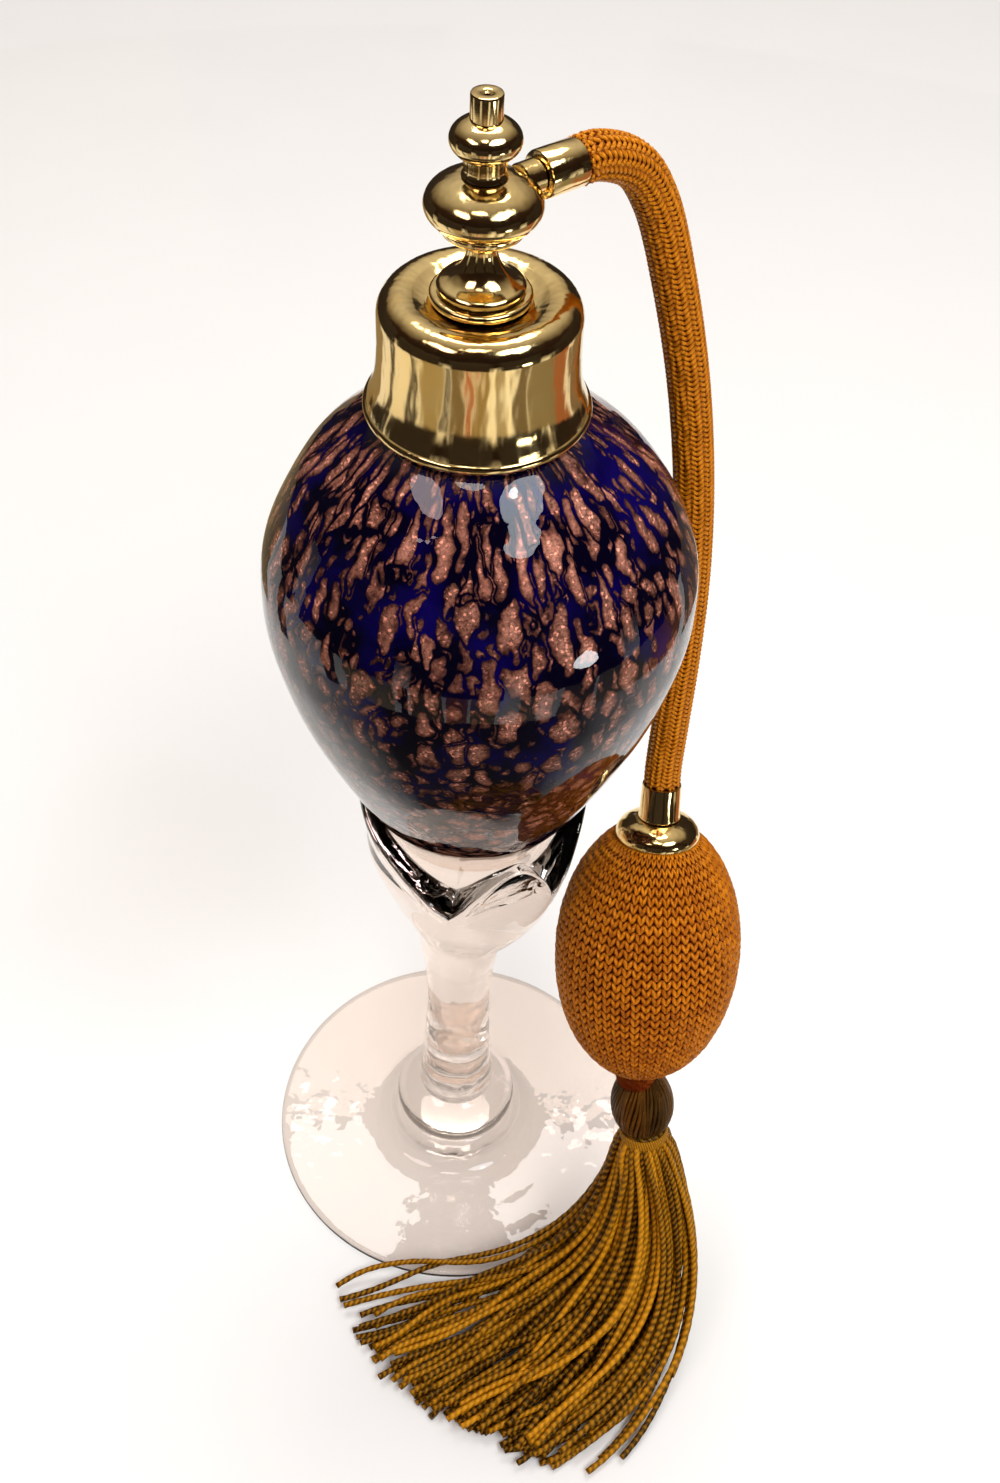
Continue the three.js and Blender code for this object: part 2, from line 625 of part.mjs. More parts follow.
function tasselGroup() {
  const group = new THREE.Group();
  group.position.copy(TASSEL_HEAD_CENTRE);
  group.quaternion.setFromUnitVectors(new THREE.Vector3(0, 0, 1), TASSEL_HEAD_UP);
  group.add(tasselHead(), tasselBinding());
  return group;
}

// ---- assembly -----------------------------------------------------------------------------------
const washerTop = COLLAR_DISH_Z - COLLAR_WALL - GAP;
const bottle = new THREE.Group();
bottle.add(foot(), stem(), calyx(), vessel(), neckSleeve());
bottle.add(collarShell(), collarLiner());
bottle.add(washerRing('retaining_nut', SHANK_RADIUS + GAP, 6, NECK_TOP + 1.4, washerTop, brass));
bottle.add(washerRing('sealing_washer', SHANK_RADIUS + GAP, 9, NECK_TOP + GAP, NECK_TOP + 1.25, blackRubber));
bottle.add(flangeRing(), turret(), upperKnob(), nozzlePost(), nozzleJet(), dipTube());
bottle.add(armGroup(), ...hose(), bulbGroup());
bottle.add(tasselCord(), tasselGroup(), tasselSkirt());

export default bottle;
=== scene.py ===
"""Looks of the perfume atomizer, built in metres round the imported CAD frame."""

import math
import random

import bmesh
import bpy
import numpy as np
from mathutils import Matrix, Vector


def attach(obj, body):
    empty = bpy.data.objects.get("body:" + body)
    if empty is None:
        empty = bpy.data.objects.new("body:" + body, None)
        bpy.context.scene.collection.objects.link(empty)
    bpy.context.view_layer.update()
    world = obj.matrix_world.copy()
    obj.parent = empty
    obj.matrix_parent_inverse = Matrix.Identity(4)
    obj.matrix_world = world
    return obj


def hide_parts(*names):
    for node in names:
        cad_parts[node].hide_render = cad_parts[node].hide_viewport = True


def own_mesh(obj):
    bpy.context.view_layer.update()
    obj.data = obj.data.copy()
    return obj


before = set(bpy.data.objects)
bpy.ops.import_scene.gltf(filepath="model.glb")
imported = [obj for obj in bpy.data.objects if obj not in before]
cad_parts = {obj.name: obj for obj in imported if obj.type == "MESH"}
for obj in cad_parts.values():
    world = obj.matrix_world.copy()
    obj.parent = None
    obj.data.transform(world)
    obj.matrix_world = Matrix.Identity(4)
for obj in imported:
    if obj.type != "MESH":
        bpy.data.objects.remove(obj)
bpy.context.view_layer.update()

MM = 0.001
TAU = 2 * math.pi

# ---- sizes in millimetres, as the CAD pieces have them ----
KNOP_Z = 11
KNOP_RADIUS = 11.4
STEM_TOP = 60.7
FOOT_RADIUS = 35
NECK_RADIUS = 8
NECK_TOP = 186.6
NECK_BORE = 6.2
HEAD_BASE_Z = 192
ARM_TURN = math.radians(38)
ARM_Z = 204
FERRULE_END = 13.5
BULB_CENTRE = np.array((31.4, -9.2, 72.6))
BULB_TILT = math.radians(22)
BULB_RADIUS = 15.5
BULB_HALF = 24.7
FERRULE_HEAD = 31.3
TASSEL_HEAD_CENTRE = np.array((33.2, -20.4, 41.2))
TASSEL_HEAD_UP = np.array((-0.13, 0.25, 0.96)) / np.linalg.norm((-0.13, 0.25, 0.96))
BULB_UP = np.array((0, math.sin(BULB_TILT), math.cos(BULB_TILT)))
NOTCHES = (-100, -38, 52, 145)
TIPS = (-64, 8, 98, 198)
NOTCH_Z = 86.5
TIP_HEIGHTS = (99.5, 102.5, 101.5, 102)
NOTCH_HEIGHTS = (88.8, 87.2, 86.5, 87.2)


# Sizes of the fine shapes only, which no CAD piece has.
CUP_FLOOR_Z = 85.2
COLOUR_DEPTH = 1.1
COLOUR_WALL = 0.7
COLOUR_FROM_Z = 110.5
GOLDEN_ANGLE = 2.39996


# ---- camera ----
def add_camera():
    """The front view, from above, looking down at the bottle."""
    data = bpy.data.cameras.new("camera")
    data.sensor_width = 36
    data.lens = 39.87
    data.clip_start = 0.01
    camera = bpy.data.objects.new("camera", data)
    yaw = Matrix.Rotation(math.radians(-1.72), 4, "Z")
    pitch = Matrix.Rotation(math.radians(90 - 47.548), 4, "X")
    roll = Matrix.Rotation(math.radians(3.098), 4, "Z")
    place = Matrix.Translation((0, -0.16988, 0.29884))
    camera.matrix_world = place @ yaw @ pitch @ roll
    bpy.context.collection.objects.link(camera)
    bpy.context.scene.camera = camera


# ---- curves and meshes ----
def smooth(points, count):
    """A smooth curve through points, as count + 1 points: uniform Catmull-Rom."""
    points = np.asarray(points, float)
    last = len(points) - 1
    out = []
    for k in range(count + 1):
        p = last * k / count
        i = min(int(p), last - 1)
        t = p - i
        a = points[max(i - 1, 0)]
        b = points[i]
        c = points[i + 1]
        d = points[min(i + 2, last)]
        v0 = (c - a) / 2
        v1 = (d - b) / 2
        out.append((2 * b - 2 * c + v0 + v1) * t**3 + (3 * c - 3 * b - 2 * v0 - v1) * t**2 + v0 * t + b)
    return np.array(out)


def arc(r0, z0, half_width, half_height, start, end, count):
    """Part of an upright ellipse centred on (r0, z0), between two angles in degrees."""
    a = np.radians(np.linspace(start, end, count + 1))
    return np.stack([r0 + half_width * np.cos(a), z0 + half_height * np.sin(a)], 1)


def even(points, count):
    """The same curve as count points, evenly spaced along it."""
    points = np.asarray(points, float)
    steps = np.linalg.norm(np.diff(points, axis=0), axis=1)
    at = np.concatenate([[0], np.cumsum(steps)])
    want = np.linspace(0, at[-1], count)
    return np.stack([np.interp(want, at, points[:, k]) for k in range(points.shape[1])], 1)


def about_axis(radius, angle, height):
    """Points at a radius, an angle and a height about the Z axis."""
    return np.stack([radius * np.cos(angle), radius * np.sin(angle), height], 1)


def unit(rows):
    """The rows of a table of vectors, each made one long."""
    return rows / np.linalg.norm(rows, axis=1)[:, None]


def heading_of(path):
    """Which way a path runs at each of its points."""
    return unit(np.gradient(path, axis=0))


def frames(path):
    """Tangent, side and over vectors along a path, with as little twist as there can be."""
    tangent = heading_of(path)
    side = np.cross(tangent[0], (0.31, 0.87, 0.23))
    side /= np.linalg.norm(side)
    sides = [side]
    for t in tangent[1:]:
        side = side - t * side.dot(t)
        side /= np.linalg.norm(side)
        sides.append(side)
    sides = np.array(sides)
    return tangent, sides, np.cross(tangent, sides)


class Batch:
    """Collects the points and faces of many small shapes for one mesh."""

    def __init__(self):
        self.points = []
        self.faces = []
        self.along = []
        self.shade = []
        self.count = 0

    def add(self, points, faces, along=0.0, shade=0.5):
        points = np.asarray(points, float)
        self.points.append(points)
        self.faces.extend(tuple(self.count + i for i in face) for face in faces)
        self.along.append(np.broadcast_to(along, len(points)))
        self.shade.append(np.broadcast_to(shade, len(points)))
        self.count += len(points)

    def tube(self, path, radius, sides=6, shade=0.5, flat=1.0, frame_of=None, twist=0.0, start=0.0):
        """A closed tube along a path. Its radius may change, and flat squeezes it along its over vector."""
        path = np.asarray(path, float)
        n = len(path)
        _, side, over = frames(path) if frame_of is None else frame_of
        radius = np.broadcast_to(radius, n)
        angles = np.arange(sides) / sides * TAU + start
        length = np.concatenate([[0], np.cumsum(np.linalg.norm(np.diff(path, axis=0), axis=1))])
        turn = angles[None] + (twist * length)[:, None]
        across = np.cos(turn)[..., None] * side[:, None]
        upward = flat * np.sin(turn)[..., None] * over[:, None]
        rings = path[:, None] + radius[:, None, None] * (across + upward)
        faces = []
        for i in range(n - 1):
            for j in range(sides):
                k = (j + 1) % sides
                faces.append((i * sides + j, i * sides + k, (i + 1) * sides + k, (i + 1) * sides + j))
        faces.append(tuple(reversed(range(sides))))
        faces.append(tuple(range((n - 1) * sides, n * sides)))
        self.add(rings.reshape(-1, 3), faces, np.repeat(length, sides), shade)

    def turn(self, outline, sides, on=None, shade=0.5, closed=False, warp=None):
        """Adds an outline turned about its own axis and moved from there by on, a 4x4 matrix."""
        verts, faces = revolve(outline, sides, closed, warp)
        self.add(verts if on is None else moved(verts, on), faces, 0.0, shade)

    def build(self, name, look, sharp=180):
        mesh = bpy.data.meshes.new(name)
        mesh.from_pydata((np.concatenate(self.points) * MM).tolist(), [], self.faces)
        for label, values in (("along", self.along), ("shade", self.shade)):
            layer = mesh.attributes.new(label, "FLOAT", "POINT")
            layer.data.foreach_set("value", np.concatenate(values).astype(np.float32))
        return finish_mesh(name, mesh, look, sharp)


def finish_mesh(name, mesh, look, sharp):
    """Makes an object of a mesh: outward faces, smooth but for edges sharper than an angle in degrees."""
    work = bmesh.new()
    work.from_mesh(mesh)
    bmesh.ops.recalc_face_normals(work, faces=work.faces)
    work.to_mesh(mesh)
    work.free()
    mesh.shade_smooth()
    if sharp < 180:
        mesh.set_sharp_from_angle(angle=math.radians(sharp))
    mesh.materials.append(look)
    obj = bpy.data.objects.new(name, mesh)
    bpy.context.collection.objects.link(obj)
    return obj


def revolve(points, sides, closed=False, warp=None):
    """Points and faces of an outline of (radius, height) turned about the axis, in millimetres."""
    points = np.asarray(points, float)
    if closed:
        points = np.concatenate([points, points[:1]])
    angles = np.arange(sides) / sides * TAU
    verts, rows = [], []
    for r, z in points[:-1] if closed else points:
        if r < 1e-6:
            rows.append([len(verts)] * sides)
            verts.append((0, 0, z))
            continue
        rows.append(list(range(len(verts), len(verts) + sides)))
        verts.extend((r * math.cos(a), r * math.sin(a), z) for a in angles)
    if closed:
        rows.append(rows[0])
    faces = []
    for low, high in zip(rows, rows[1:]):
        for j in range(sides):
            k = (j + 1) % sides
            face = [low[j], low[k], high[k], high[j]]
            corners = [v for i, v in enumerate(face) if v != face[i - 1]]
            if len(corners) > 2:
                faces.append(tuple(corners))
    verts = np.array(verts)
    return (warp(verts) if warp else verts), faces


def turned(name, outline, look, sides, sharp=35, **options):
    """A piece that is one turned outline."""
    batch = Batch()
    batch.turn(outline, sides, **options)
    return batch.build(name, look, sharp)


# ---- material kit ----
MIX_A, MIX_B, MIX_RESULT = 6, 7, 2  # the colour sockets of a Mix node


def set_stops(node, stops):
    """Gives a colour ramp its stops, each a position and a colour."""
    elements = node.color_ramp.elements
    while len(elements) < len(stops):
        elements.new(0.5)
    for element, (position, color) in zip(elements, stops):
        element.position = position
        element.color = (*color, 1)


def dimmed(color, share):
    return tuple(share * c for c in color)


class Look:
    """One procedural material: a Principled shader and short calls that add nodes to it."""

    def __init__(self, name, color, **sockets):
        self.material = bpy.data.materials.new(name)
        self.material.use_nodes = True
        self.tree = self.material.node_tree
        self.shader = self.tree.nodes["Principled BSDF"]
        self.shader.inputs["Base Color"].default_value = (*color, 1)
        self.fill(self.shader, **sockets)

    def node(self, kind, **settings):
        node = self.tree.nodes.new("ShaderNode" + kind)
        for key, value in settings.items():
            setattr(node, key, value)
        return node

    def feed(self, node, socket, value):
        """Gives a socket another node's output, or a plain value."""
        if isinstance(value, bpy.types.NodeSocket):
            self.tree.links.new(value, node.inputs[socket])
        elif value is not None:
            node.inputs[socket].default_value = value

    def fill(self, node, **sockets):
        """Feeds a node's sockets by name, with _ for a space."""
        for socket, value in sockets.items():
            self.feed(node, socket.replace("_", " "), value)
        return node

    def math(self, operation, a, b=None, c=None):
        node = self.node("Math", operation=operation)
        for index, value in enumerate((a, b, c)):
            self.feed(node, index, value)
        return node.outputs[0]

    def times(self, a, b):
        return self.math("MULTIPLY", a, b)

    def mul_add(self, a, b, c):
        """a times b, plus c."""
        return self.math("MULTIPLY_ADD", a, b, c)

    def vector(self, operation, a, b=None, scale=None):
        node = self.node("VectorMath", operation=operation)
        self.feed(node, 0, a)
        self.feed(node, 1, b)
        if scale is not None:
            self.feed(node, "Scale", scale)
        return node.outputs["Value" if operation in ("LENGTH", "DOT_PRODUCT") else "Vector"]

    def place(self):
        """The point in the part's own frame, in millimetres."""
        return self.vector("SCALE", self.node("TexCoord").outputs["Object"], scale=1000.0)

    def split(self, vector):
        node = self.node("SeparateXYZ")
        self.feed(node, 0, vector)
        return node.outputs

    def join(self, x, y, z):
        node = self.node("CombineXYZ")
        for index, value in enumerate((x, y, z)):
            self.feed(node, index, value)
        return node.outputs[0]

    def attribute(self, name):
        return self.node("Attribute", attribute_name=name).outputs["Fac"]

    def noise(self, vector, scale, detail=3.0, rough=0.5, output="Fac"):
        node = self.node("TexNoise")
        self.fill(node, Vector=vector, Scale=scale, Detail=detail, Roughness=rough)
        return node.outputs[output]

    def cells(self, vector, scale, feature="F1"):
        node = self.fill(self.node("TexVoronoi", feature=feature), Vector=vector, Scale=scale)
        return node.outputs["Distance"], node.outputs.get("Color")

    def ramp(self, value, *stops):
        """Colours by value: stops are (position, colour)."""
        node = self.node("ValToRGB")
        set_stops(node, stops)
        self.feed(node, 0, value)
        return node.outputs[0]

    def range(self, value, low, high, to_low=0.0, to_high=1.0):
        node = self.node("MapRange")
        self.fill(node, Value=value, From_Min=low, From_Max=high, To_Min=to_low, To_Max=to_high)
        return node.outputs["Result"]

    def mix(self, factor, a, b):
        node = self.node("Mix", data_type="RGBA")
        self.feed(node, 0, factor)
        for index, value in ((MIX_A, a), (MIX_B, b)):
            self.feed(node, index, value if isinstance(value, bpy.types.NodeSocket) else (*value, 1))
        return node.outputs[MIX_RESULT]

    def bump(self, height, strength, distance):
        """Distance is in millimetres."""
        node = self.fill(self.node("Bump"), Strength=strength, Distance=distance * MM, Height=height)
        self.feed(self.shader, "Normal", node.outputs[0])

    def color(self, value):
        self.feed(self.shader, "Base Color", value)

    def rough(self, value):
        self.feed(self.shader, "Roughness", value)


def gold_look(name, color, wave):
    """Polished gold plate: pale, slightly uneven, with faint wipe marks."""
    look = Look(name, color, Metallic=1.0)
    p = look.place()
    wipe = look.noise(look.vector("MULTIPLY", p, (1.0, 1.0, 0.25)), 1.1, 5, 0.6)
    look.rough(look.range(wipe, 0.25, 0.8, 0.05, 0.15))
    tone = look.noise(p, 0.16, 2)
    warmer = (color[0], color[1] * 0.95, color[2] * 0.84)
    look.color(look.mix(look.range(tone, 0.35, 0.65), color, warmer))
    swell = look.noise(look.vector("MULTIPLY", p, (0.3, 0.3, 0.09)), 1.0, 2)
    grain = look.noise(p, 9, 3, 0.6)
    look.bump(look.mul_add(grain, 0.02, swell), 1.0, wave)
    return look.material


def metal_look(name, color, rough):
    """Plain turned metal of a hidden piece."""
    look = Look(name, color, Metallic=1.0)
    p = look.place()
    rings = look.noise(look.vector("MULTIPLY", p, (0.3, 0.3, 6.0)), 1.0, 4, 0.6)
    look.rough(look.range(rings, 0.2, 0.8, rough * 0.7, rough * 1.3))
    look.color(look.mix(rings, color, dimmed(color, 0.75)))
    look.bump(rings, 0.4, 0.02)
    return look.material


def moulded_look(name, color, rough, **sockets):
    """Moulded plastic or rubber with a fine surface grain."""
    look = Look(name, color, **sockets)
    p = look.place()
    grain = look.noise(p, 5, 4, 0.6)
    look.rough(look.range(grain, 0.2, 0.8, rough * 0.85, rough * 1.15))
    look.color(look.mix(look.noise(p, 0.4, 3), color, dimmed(color, 0.8)))
    look.bump(grain, 0.4, 0.03)
    return look.material


def glass_look(name, tint):
    """Clear hand-made glass: slightly uneven, and it lets light through to what stands behind it."""
    look = Look(name, tint, Transmission_Weight=1.0, IOR=1.5, Roughness=0.0)
    p = look.place()
    cords = look.noise(look.vector("MULTIPLY", p, (0.22, 0.22, 0.1)), 1.0, 2, 0.4)
    z = look.split(p)[2]
    stem = look.times(look.range(z, 64, 56), look.range(z, 14, 20))
    look.bump(look.times(cords, look.mul_add(stem, 2.2, 0.8)), 1.0, 0.16)
    clear = look.node("BsdfTransparent")
    choose = look.node("MixShader")
    look.feed(choose, 0, look.node("LightPath").outputs["Is Shadow Ray"])
    look.tree.links.new(look.shader.outputs[0], choose.inputs[1])
    look.tree.links.new(clear.outputs[0], choose.inputs[2])
    look.tree.links.new(choose.outputs[0], look.tree.nodes["Material Output"].inputs["Surface"])
    return look.material


def flakes(look, point, size, low, high):
    """Copper flakes as rounded cells: how far inside one a point is, and a number that each flake has."""
    distance, chance = look.cells(point, 1 / size)
    border, _ = look.cells(point, 1 / size, "DISTANCE_TO_EDGE")
    chance = look.split(chance)
    reach = look.mul_add(chance[0], look.math("SUBTRACT", high, low), low)
    inside = look.math("DIVIDE", look.math("SUBTRACT", reach, distance), 0.4)
    apart = look.times(look.math("SUBTRACT", border, 0.08), 4.0)
    return look.math("MINIMUM", inside, apart), chance[1]


def shaken(look, point, at, scale, detail, distance):
    """A point moved by noise that is read at another point."""
    noise = look.noise(at, scale, detail, output="Color")
    shift = look.vector("SUBTRACT", noise, (0.5, 0.5, 0.5))
    return look.vector("ADD", point, look.vector("SCALE", shift, scale=distance))


def art_glass_look():
    """Cobalt glass with copper aventurine flakes drawn out into streaks towards the neck; the copper has
    painted glints.
    """
    deep = (0.001, 0.0005, 0.011)
    bright = (0.004, 0.001, 0.11)
    look = Look("art_glass", bright)
    p = look.place()
    x, y, z = look.split(p)
    flat = look.join(x, y, 0.0)
    radius = look.vector("LENGTH", flat)
    widen = look.math("SUBTRACT", look.math("DIVIDE", 29.0, look.math("MAXIMUM", radius, 4.0)), 1.0)
    widen = look.mul_add(widen, look.range(z, 136, 150, 0, 0.85), 1.0)
    over = look.math("MAXIMUM", look.math("SUBTRACT", z, 128.0), 0.0)
    high = look.math("MAXIMUM", look.math("SUBTRACT", z, 146.0), 0.0)
    height = look.mul_add(high, -0.16, look.mul_add(over, -0.32, z))
    q = look.vector("ADD", look.vector("SCALE", flat, scale=widen), look.join(0.0, 0.0, height))
    q = shaken(look, q, p, 0.22, 2, 3.4)
    q = shaken(look, q, q, 1.1, 1, 0.6)

    upper = look.range(z, 130, 156)
    foot = look.range(z, 132, 110)
    widest = look.mul_add(foot, 0.4, look.mul_add(upper, -0.04, 0.82))
    large, tone_a = flakes(look, q, 3.3, look.mul_add(upper, -0.1, 0.3), widest)
    elsewhere = look.vector("ADD", q, (31.0, 17.0, 5.0))
    widest = look.mul_add(upper, 0.02, 0.8)
    small, tone_b = flakes(look, elsewhere, 2.2, look.mul_add(upper, 0.05, 0.1), widest)
    small = look.math("MINIMUM", small, look.mul_add(large, -1.0, -0.16))
    inside = look.math("MAXIMUM", large, small)
    first = look.math("GREATER_THAN", large, small)
    tone = look.mul_add(first, look.math("SUBTRACT", tone_a, tone_b), tone_b)
    mask = look.range(inside, -0.01, 0.07)
    _, spark = look.cells(p, 3.2)
    spark = look.split(spark)[0]
    # Painted glints: a few small cells are painted much brighter in the copper's colour.
    glint = look.range(spark, 0.86, 1.0)
    dust = look.range(look.noise(p, 2.0, 3, 0.75), 0.36, 0.66, 0.2, 1.4)
    copper = look.ramp(inside, (0.0, (0.03, 0.012, 0.014)), (0.14, (0.11, 0.04, 0.032)),
                       (0.4, (0.31, 0.125, 0.088)), (1.0, (0.5, 0.225, 0.165)))
    level = look.mul_add(tone, 0.5, dust)
    level = look.mul_add(glint, 3.0, level)
    # Painted light: the copper is painted up to about twice as bright towards the egg's bottom, which the
    # lamps hardly reach.
    level = look.times(level, look.mul_add(foot, 1.1, 1.0))
    copper = look.vector("SCALE", copper, scale=level)
    body = look.mix(look.range(look.noise(p, 0.11, 3), 0.46, 0.66), deep, bright)
    look.color(look.mix(mask, body, copper))
    look.rough(look.mul_add(mask, 0.25, 0.3))
    look.feed(look.shader, "Metallic", look.times(mask, 0.3))
    look.bump(look.mul_add(spark, 0.3, mask), 0.6, 0.15)
    look.shader.inputs["Specular IOR Level"].default_value = 0.0
    return look.material


def thread_look(name, dark, light, pitch, fibre, rough=0.42):
    """Shiny rayon thread, with painted shade where it sinks in, ribbed across its length at a pitch in
    millimetres.
    """
    look = Look(name, light, Specular_IOR_Level=0.8, Specular_Tint=(1.0, 0.74, 0.22, 1.0))
    p = look.place()
    along = look.attribute("along")
    shade = look.attribute("shade")
    x, y, z = look.split(p)
    slant = look.mul_add(look.math("ADD", x, look.math("ADD", y, z)), 0.35 / pitch,
                      look.math("DIVIDE", along, pitch))
    rib = look.mul_add(look.math("SINE", look.times(slant, TAU)), 0.5, 0.5)
    lint = look.noise(p, 4.5, 4, 0.7)
    wear = look.noise(p, 0.3, 3, 0.5)
    level = look.mul_add(rib, fibre, look.mul_add(lint, 0.36, -0.18 - fibre / 2))
    # The shade attribute is mostly painted shade from the geometry. Added to the thread's own ribs, lint and
    # wear, it mixes the colour from dark to light.
    level = look.math("ADD", look.math("ADD", shade, level), look.mul_add(wear, 0.36, -0.18))
    look.color(look.mix(look.range(level, 0.0, 1.0), dark, light))
    look.rough(look.range(lint, 0.2, 0.8, rough * 0.8, rough * 1.2))
    look.bump(look.mul_add(lint, 0.5, rib), 0.7, pitch * 0.28)
    return look.material


def floor_look():
    """Plain pale card."""
    look = Look("floor", (0.86, 0.855, 0.85), Roughness=0.55)
    p = look.place()
    look.color(look.mix(look.noise(p, 0.02, 3), (0.85, 0.845, 0.84), (0.88, 0.877, 0.873)))
    look.bump(look.noise(p, 1.2, 4, 0.6), 0.15, 0.05)
    return look.material


GOLD = gold_look("gold_plate", (0.90, 0.69, 0.32), 0.22)
BRASS = metal_look("brass", (0.72, 0.5, 0.22), 0.3)
STEEL = metal_look("steel", (0.6, 0.61, 0.63), 0.18)
WHITE_PLASTIC = moulded_look("white_plastic", (0.8, 0.78, 0.7), 0.45)
TUBE_PLASTIC = moulded_look("tube_plastic", (0.75, 0.78, 0.78), 0.35)
BLACK_RUBBER = moulded_look("black_rubber", (0.02, 0.018, 0.016), 0.7)
BULB_RUBBER = moulded_look("bulb_rubber", (0.09, 0.06, 0.035), 0.7)
CLEAR_GLASS = glass_look("clear_glass", (0.90, 0.78, 0.70))
ART_GLASS = art_glass_look()
BRAID = thread_look("braid", (0.18, 0.009, 0.0003), (0.84, 0.28, 0.008), 0.9, 0.08, 0.34)
NET = thread_look("net", (0.17, 0.009, 0.0002), (0.80, 0.25, 0.006), 0.7, 0.1, 0.34)
# The net's lining is painted shade that shows between the net's stitches.
NET_PAINTED_SHADE = thread_look("net_base", (0.03, 0.002, 0.0002), (0.12, 0.014, 0.0005), 0.9, 0.2)
TASSEL = thread_look("tassel", (0.03, 0.007, 0.0002), (0.66, 0.265, 0.007), 0.6, 0.5)
TASSEL_HEAD = thread_look("tassel_head", (0.01, 0.0025, 0.0002), (0.14, 0.042, 0.003), 3.0, 0.08, 0.34)


# ---- placing ----
def place(obj, body, slot, *nodes):
    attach(obj, body)
    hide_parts(*nodes)


ARM_HEADING = Matrix.Rotation(ARM_TURN, 4, "Z") @ Matrix.Rotation(math.pi / 2, 4, "Y")
ON_ARM = Matrix.Translation((0, 0, ARM_Z)) @ ARM_HEADING
ON_BULB = Matrix.Translation(BULB_CENTRE) @ Matrix.Rotation(-BULB_TILT, 4, "X")
TASSEL_LEAN = Vector(TASSEL_HEAD_UP).to_track_quat("Z", "Y").to_matrix().to_4x4()
ON_TASSEL = Matrix.Translation(TASSEL_HEAD_CENTRE) @ TASSEL_LEAN


def on_arm(distance):
    return np.array((distance * math.cos(ARM_TURN), distance * math.sin(ARM_TURN), ARM_Z))


def on_bulb_axis(height):
    return BULB_CENTRE + BULB_UP * height


def moved(points, matrix):
    """Points in millimetres carried by a matrix."""
    return np.asarray(points) @ np.array(matrix.to_3x3()).T + np.array(matrix.translation)


# ---- glass ----
def lip_height(angle):
    """Height of the petal cup's edge at an angle in degrees: low in the notches, high at the tips."""
    angle = (angle - NOTCHES[0]) % 360 + NOTCHES[0]
    count = len(NOTCHES)
    for i in range(count):
        following = NOTCHES[i + 1] if i + 1 < count else NOTCHES[0] + 360
        if angle <= following:
            break
    rising = angle < TIPS[i]
    low = NOTCH_HEIGHTS[i] if rising else NOTCH_HEIGHTS[(i + 1) % count]
    if rising:
        share = (angle - NOTCHES[i]) / (TIPS[i] - NOTCHES[i])
    else:
        share = (following - angle) / (following - TIPS[i])
    return low + (TIP_HEIGHTS[i] - low) * math.sin(share * math.pi / 2) ** 0.9


CUP_OUTSIDE = [
    (7, STEM_TOP), (8.7, 66.5), (12, 72.2), (14.6, 78), (16, 83.4), (16.9, 88.6), (17.3, 94), (17.4, 106),
]
CUP_INSIDE = [
    (0, CUP_FLOOR_Z), (6.5, 85.6), (9.3, 87.6), (12.4, 92.1), (14.3, 97), (15.4, 101.5), (15.8, 106),
]


def cup_rings(sides):
    """Rings of the petal cup from the stem's top, up the outside, over the lip and down the inside."""
    outside = smooth(CUP_OUTSIDE, 80)
    inside = smooth(CUP_INSIDE, 80)
    angles = np.arange(sides) / sides * TAU
    lip = np.array([lip_height(math.degrees(a)) for a in angles])
    hand = 0.35 * np.sin(3 * angles + 1.1) + 0.25 * np.sin(7 * angles + 0.4)
    outer_r = np.interp(lip, outside[:, 1], outside[:, 0])
    inner_r = np.interp(lip, inside[:, 1], inside[:, 0])
    half = (outer_r - inner_r) / 2
    crown = 0.9 + 0.28 * half
    leaner = 0.16 * np.cos((angles - math.radians(195)) / 2) ** 4
    rings = []
    for s in np.linspace(0, 1, 46)[1:]:
        z = STEM_TOP + (lip - STEM_TOP) * s
        r = np.interp(z, outside[:, 1], outside[:, 0])
        r = r * (1 - leaner * np.clip((z - 61) / 7, 0, 1) * np.clip((92 - z) / 16, 0, 1))
        roll = 0.75 * np.exp(-(((lip - z) / 2.6) ** 2)) * np.clip((lip - NOTCH_Z) / 6, 0.25, 1)
        fold = np.clip((z - 78) / 14, 0, 1)
        rings.append((r + roll + fold * hand * 0.5, z))
    top_r = rings[-1][0]
    for a in np.radians(np.linspace(0, 180, 13)[1:-1]):
        share = (1 - math.cos(a)) / 2
        rings.append((top_r + (inner_r - top_r) * share, lip + crown * math.sin(a)))
    for s in np.linspace(0, 1, 26):
        z = lip + (CUP_FLOOR_Z - lip) * s
        r = np.interp(z, inside[:, 1], inside[:, 0])
        fold = np.clip((z - 88) / 8, 0, 1)
        rings.append((r + fold * hand * 0.5, z))
    return angles, rings


def blown(points):
    """The glass isn't quite true: cup and egg stand a millimetre to one side of foot and neck."""
    points = points.copy()
    z = points[:, 2]
    share = np.clip((z - 61) / 26, 0, 1) * np.clip((177 - z) / 20, 0, 1)
    points[:, 0] += 1.1 * share * share * (3 - 2 * share)
    return points


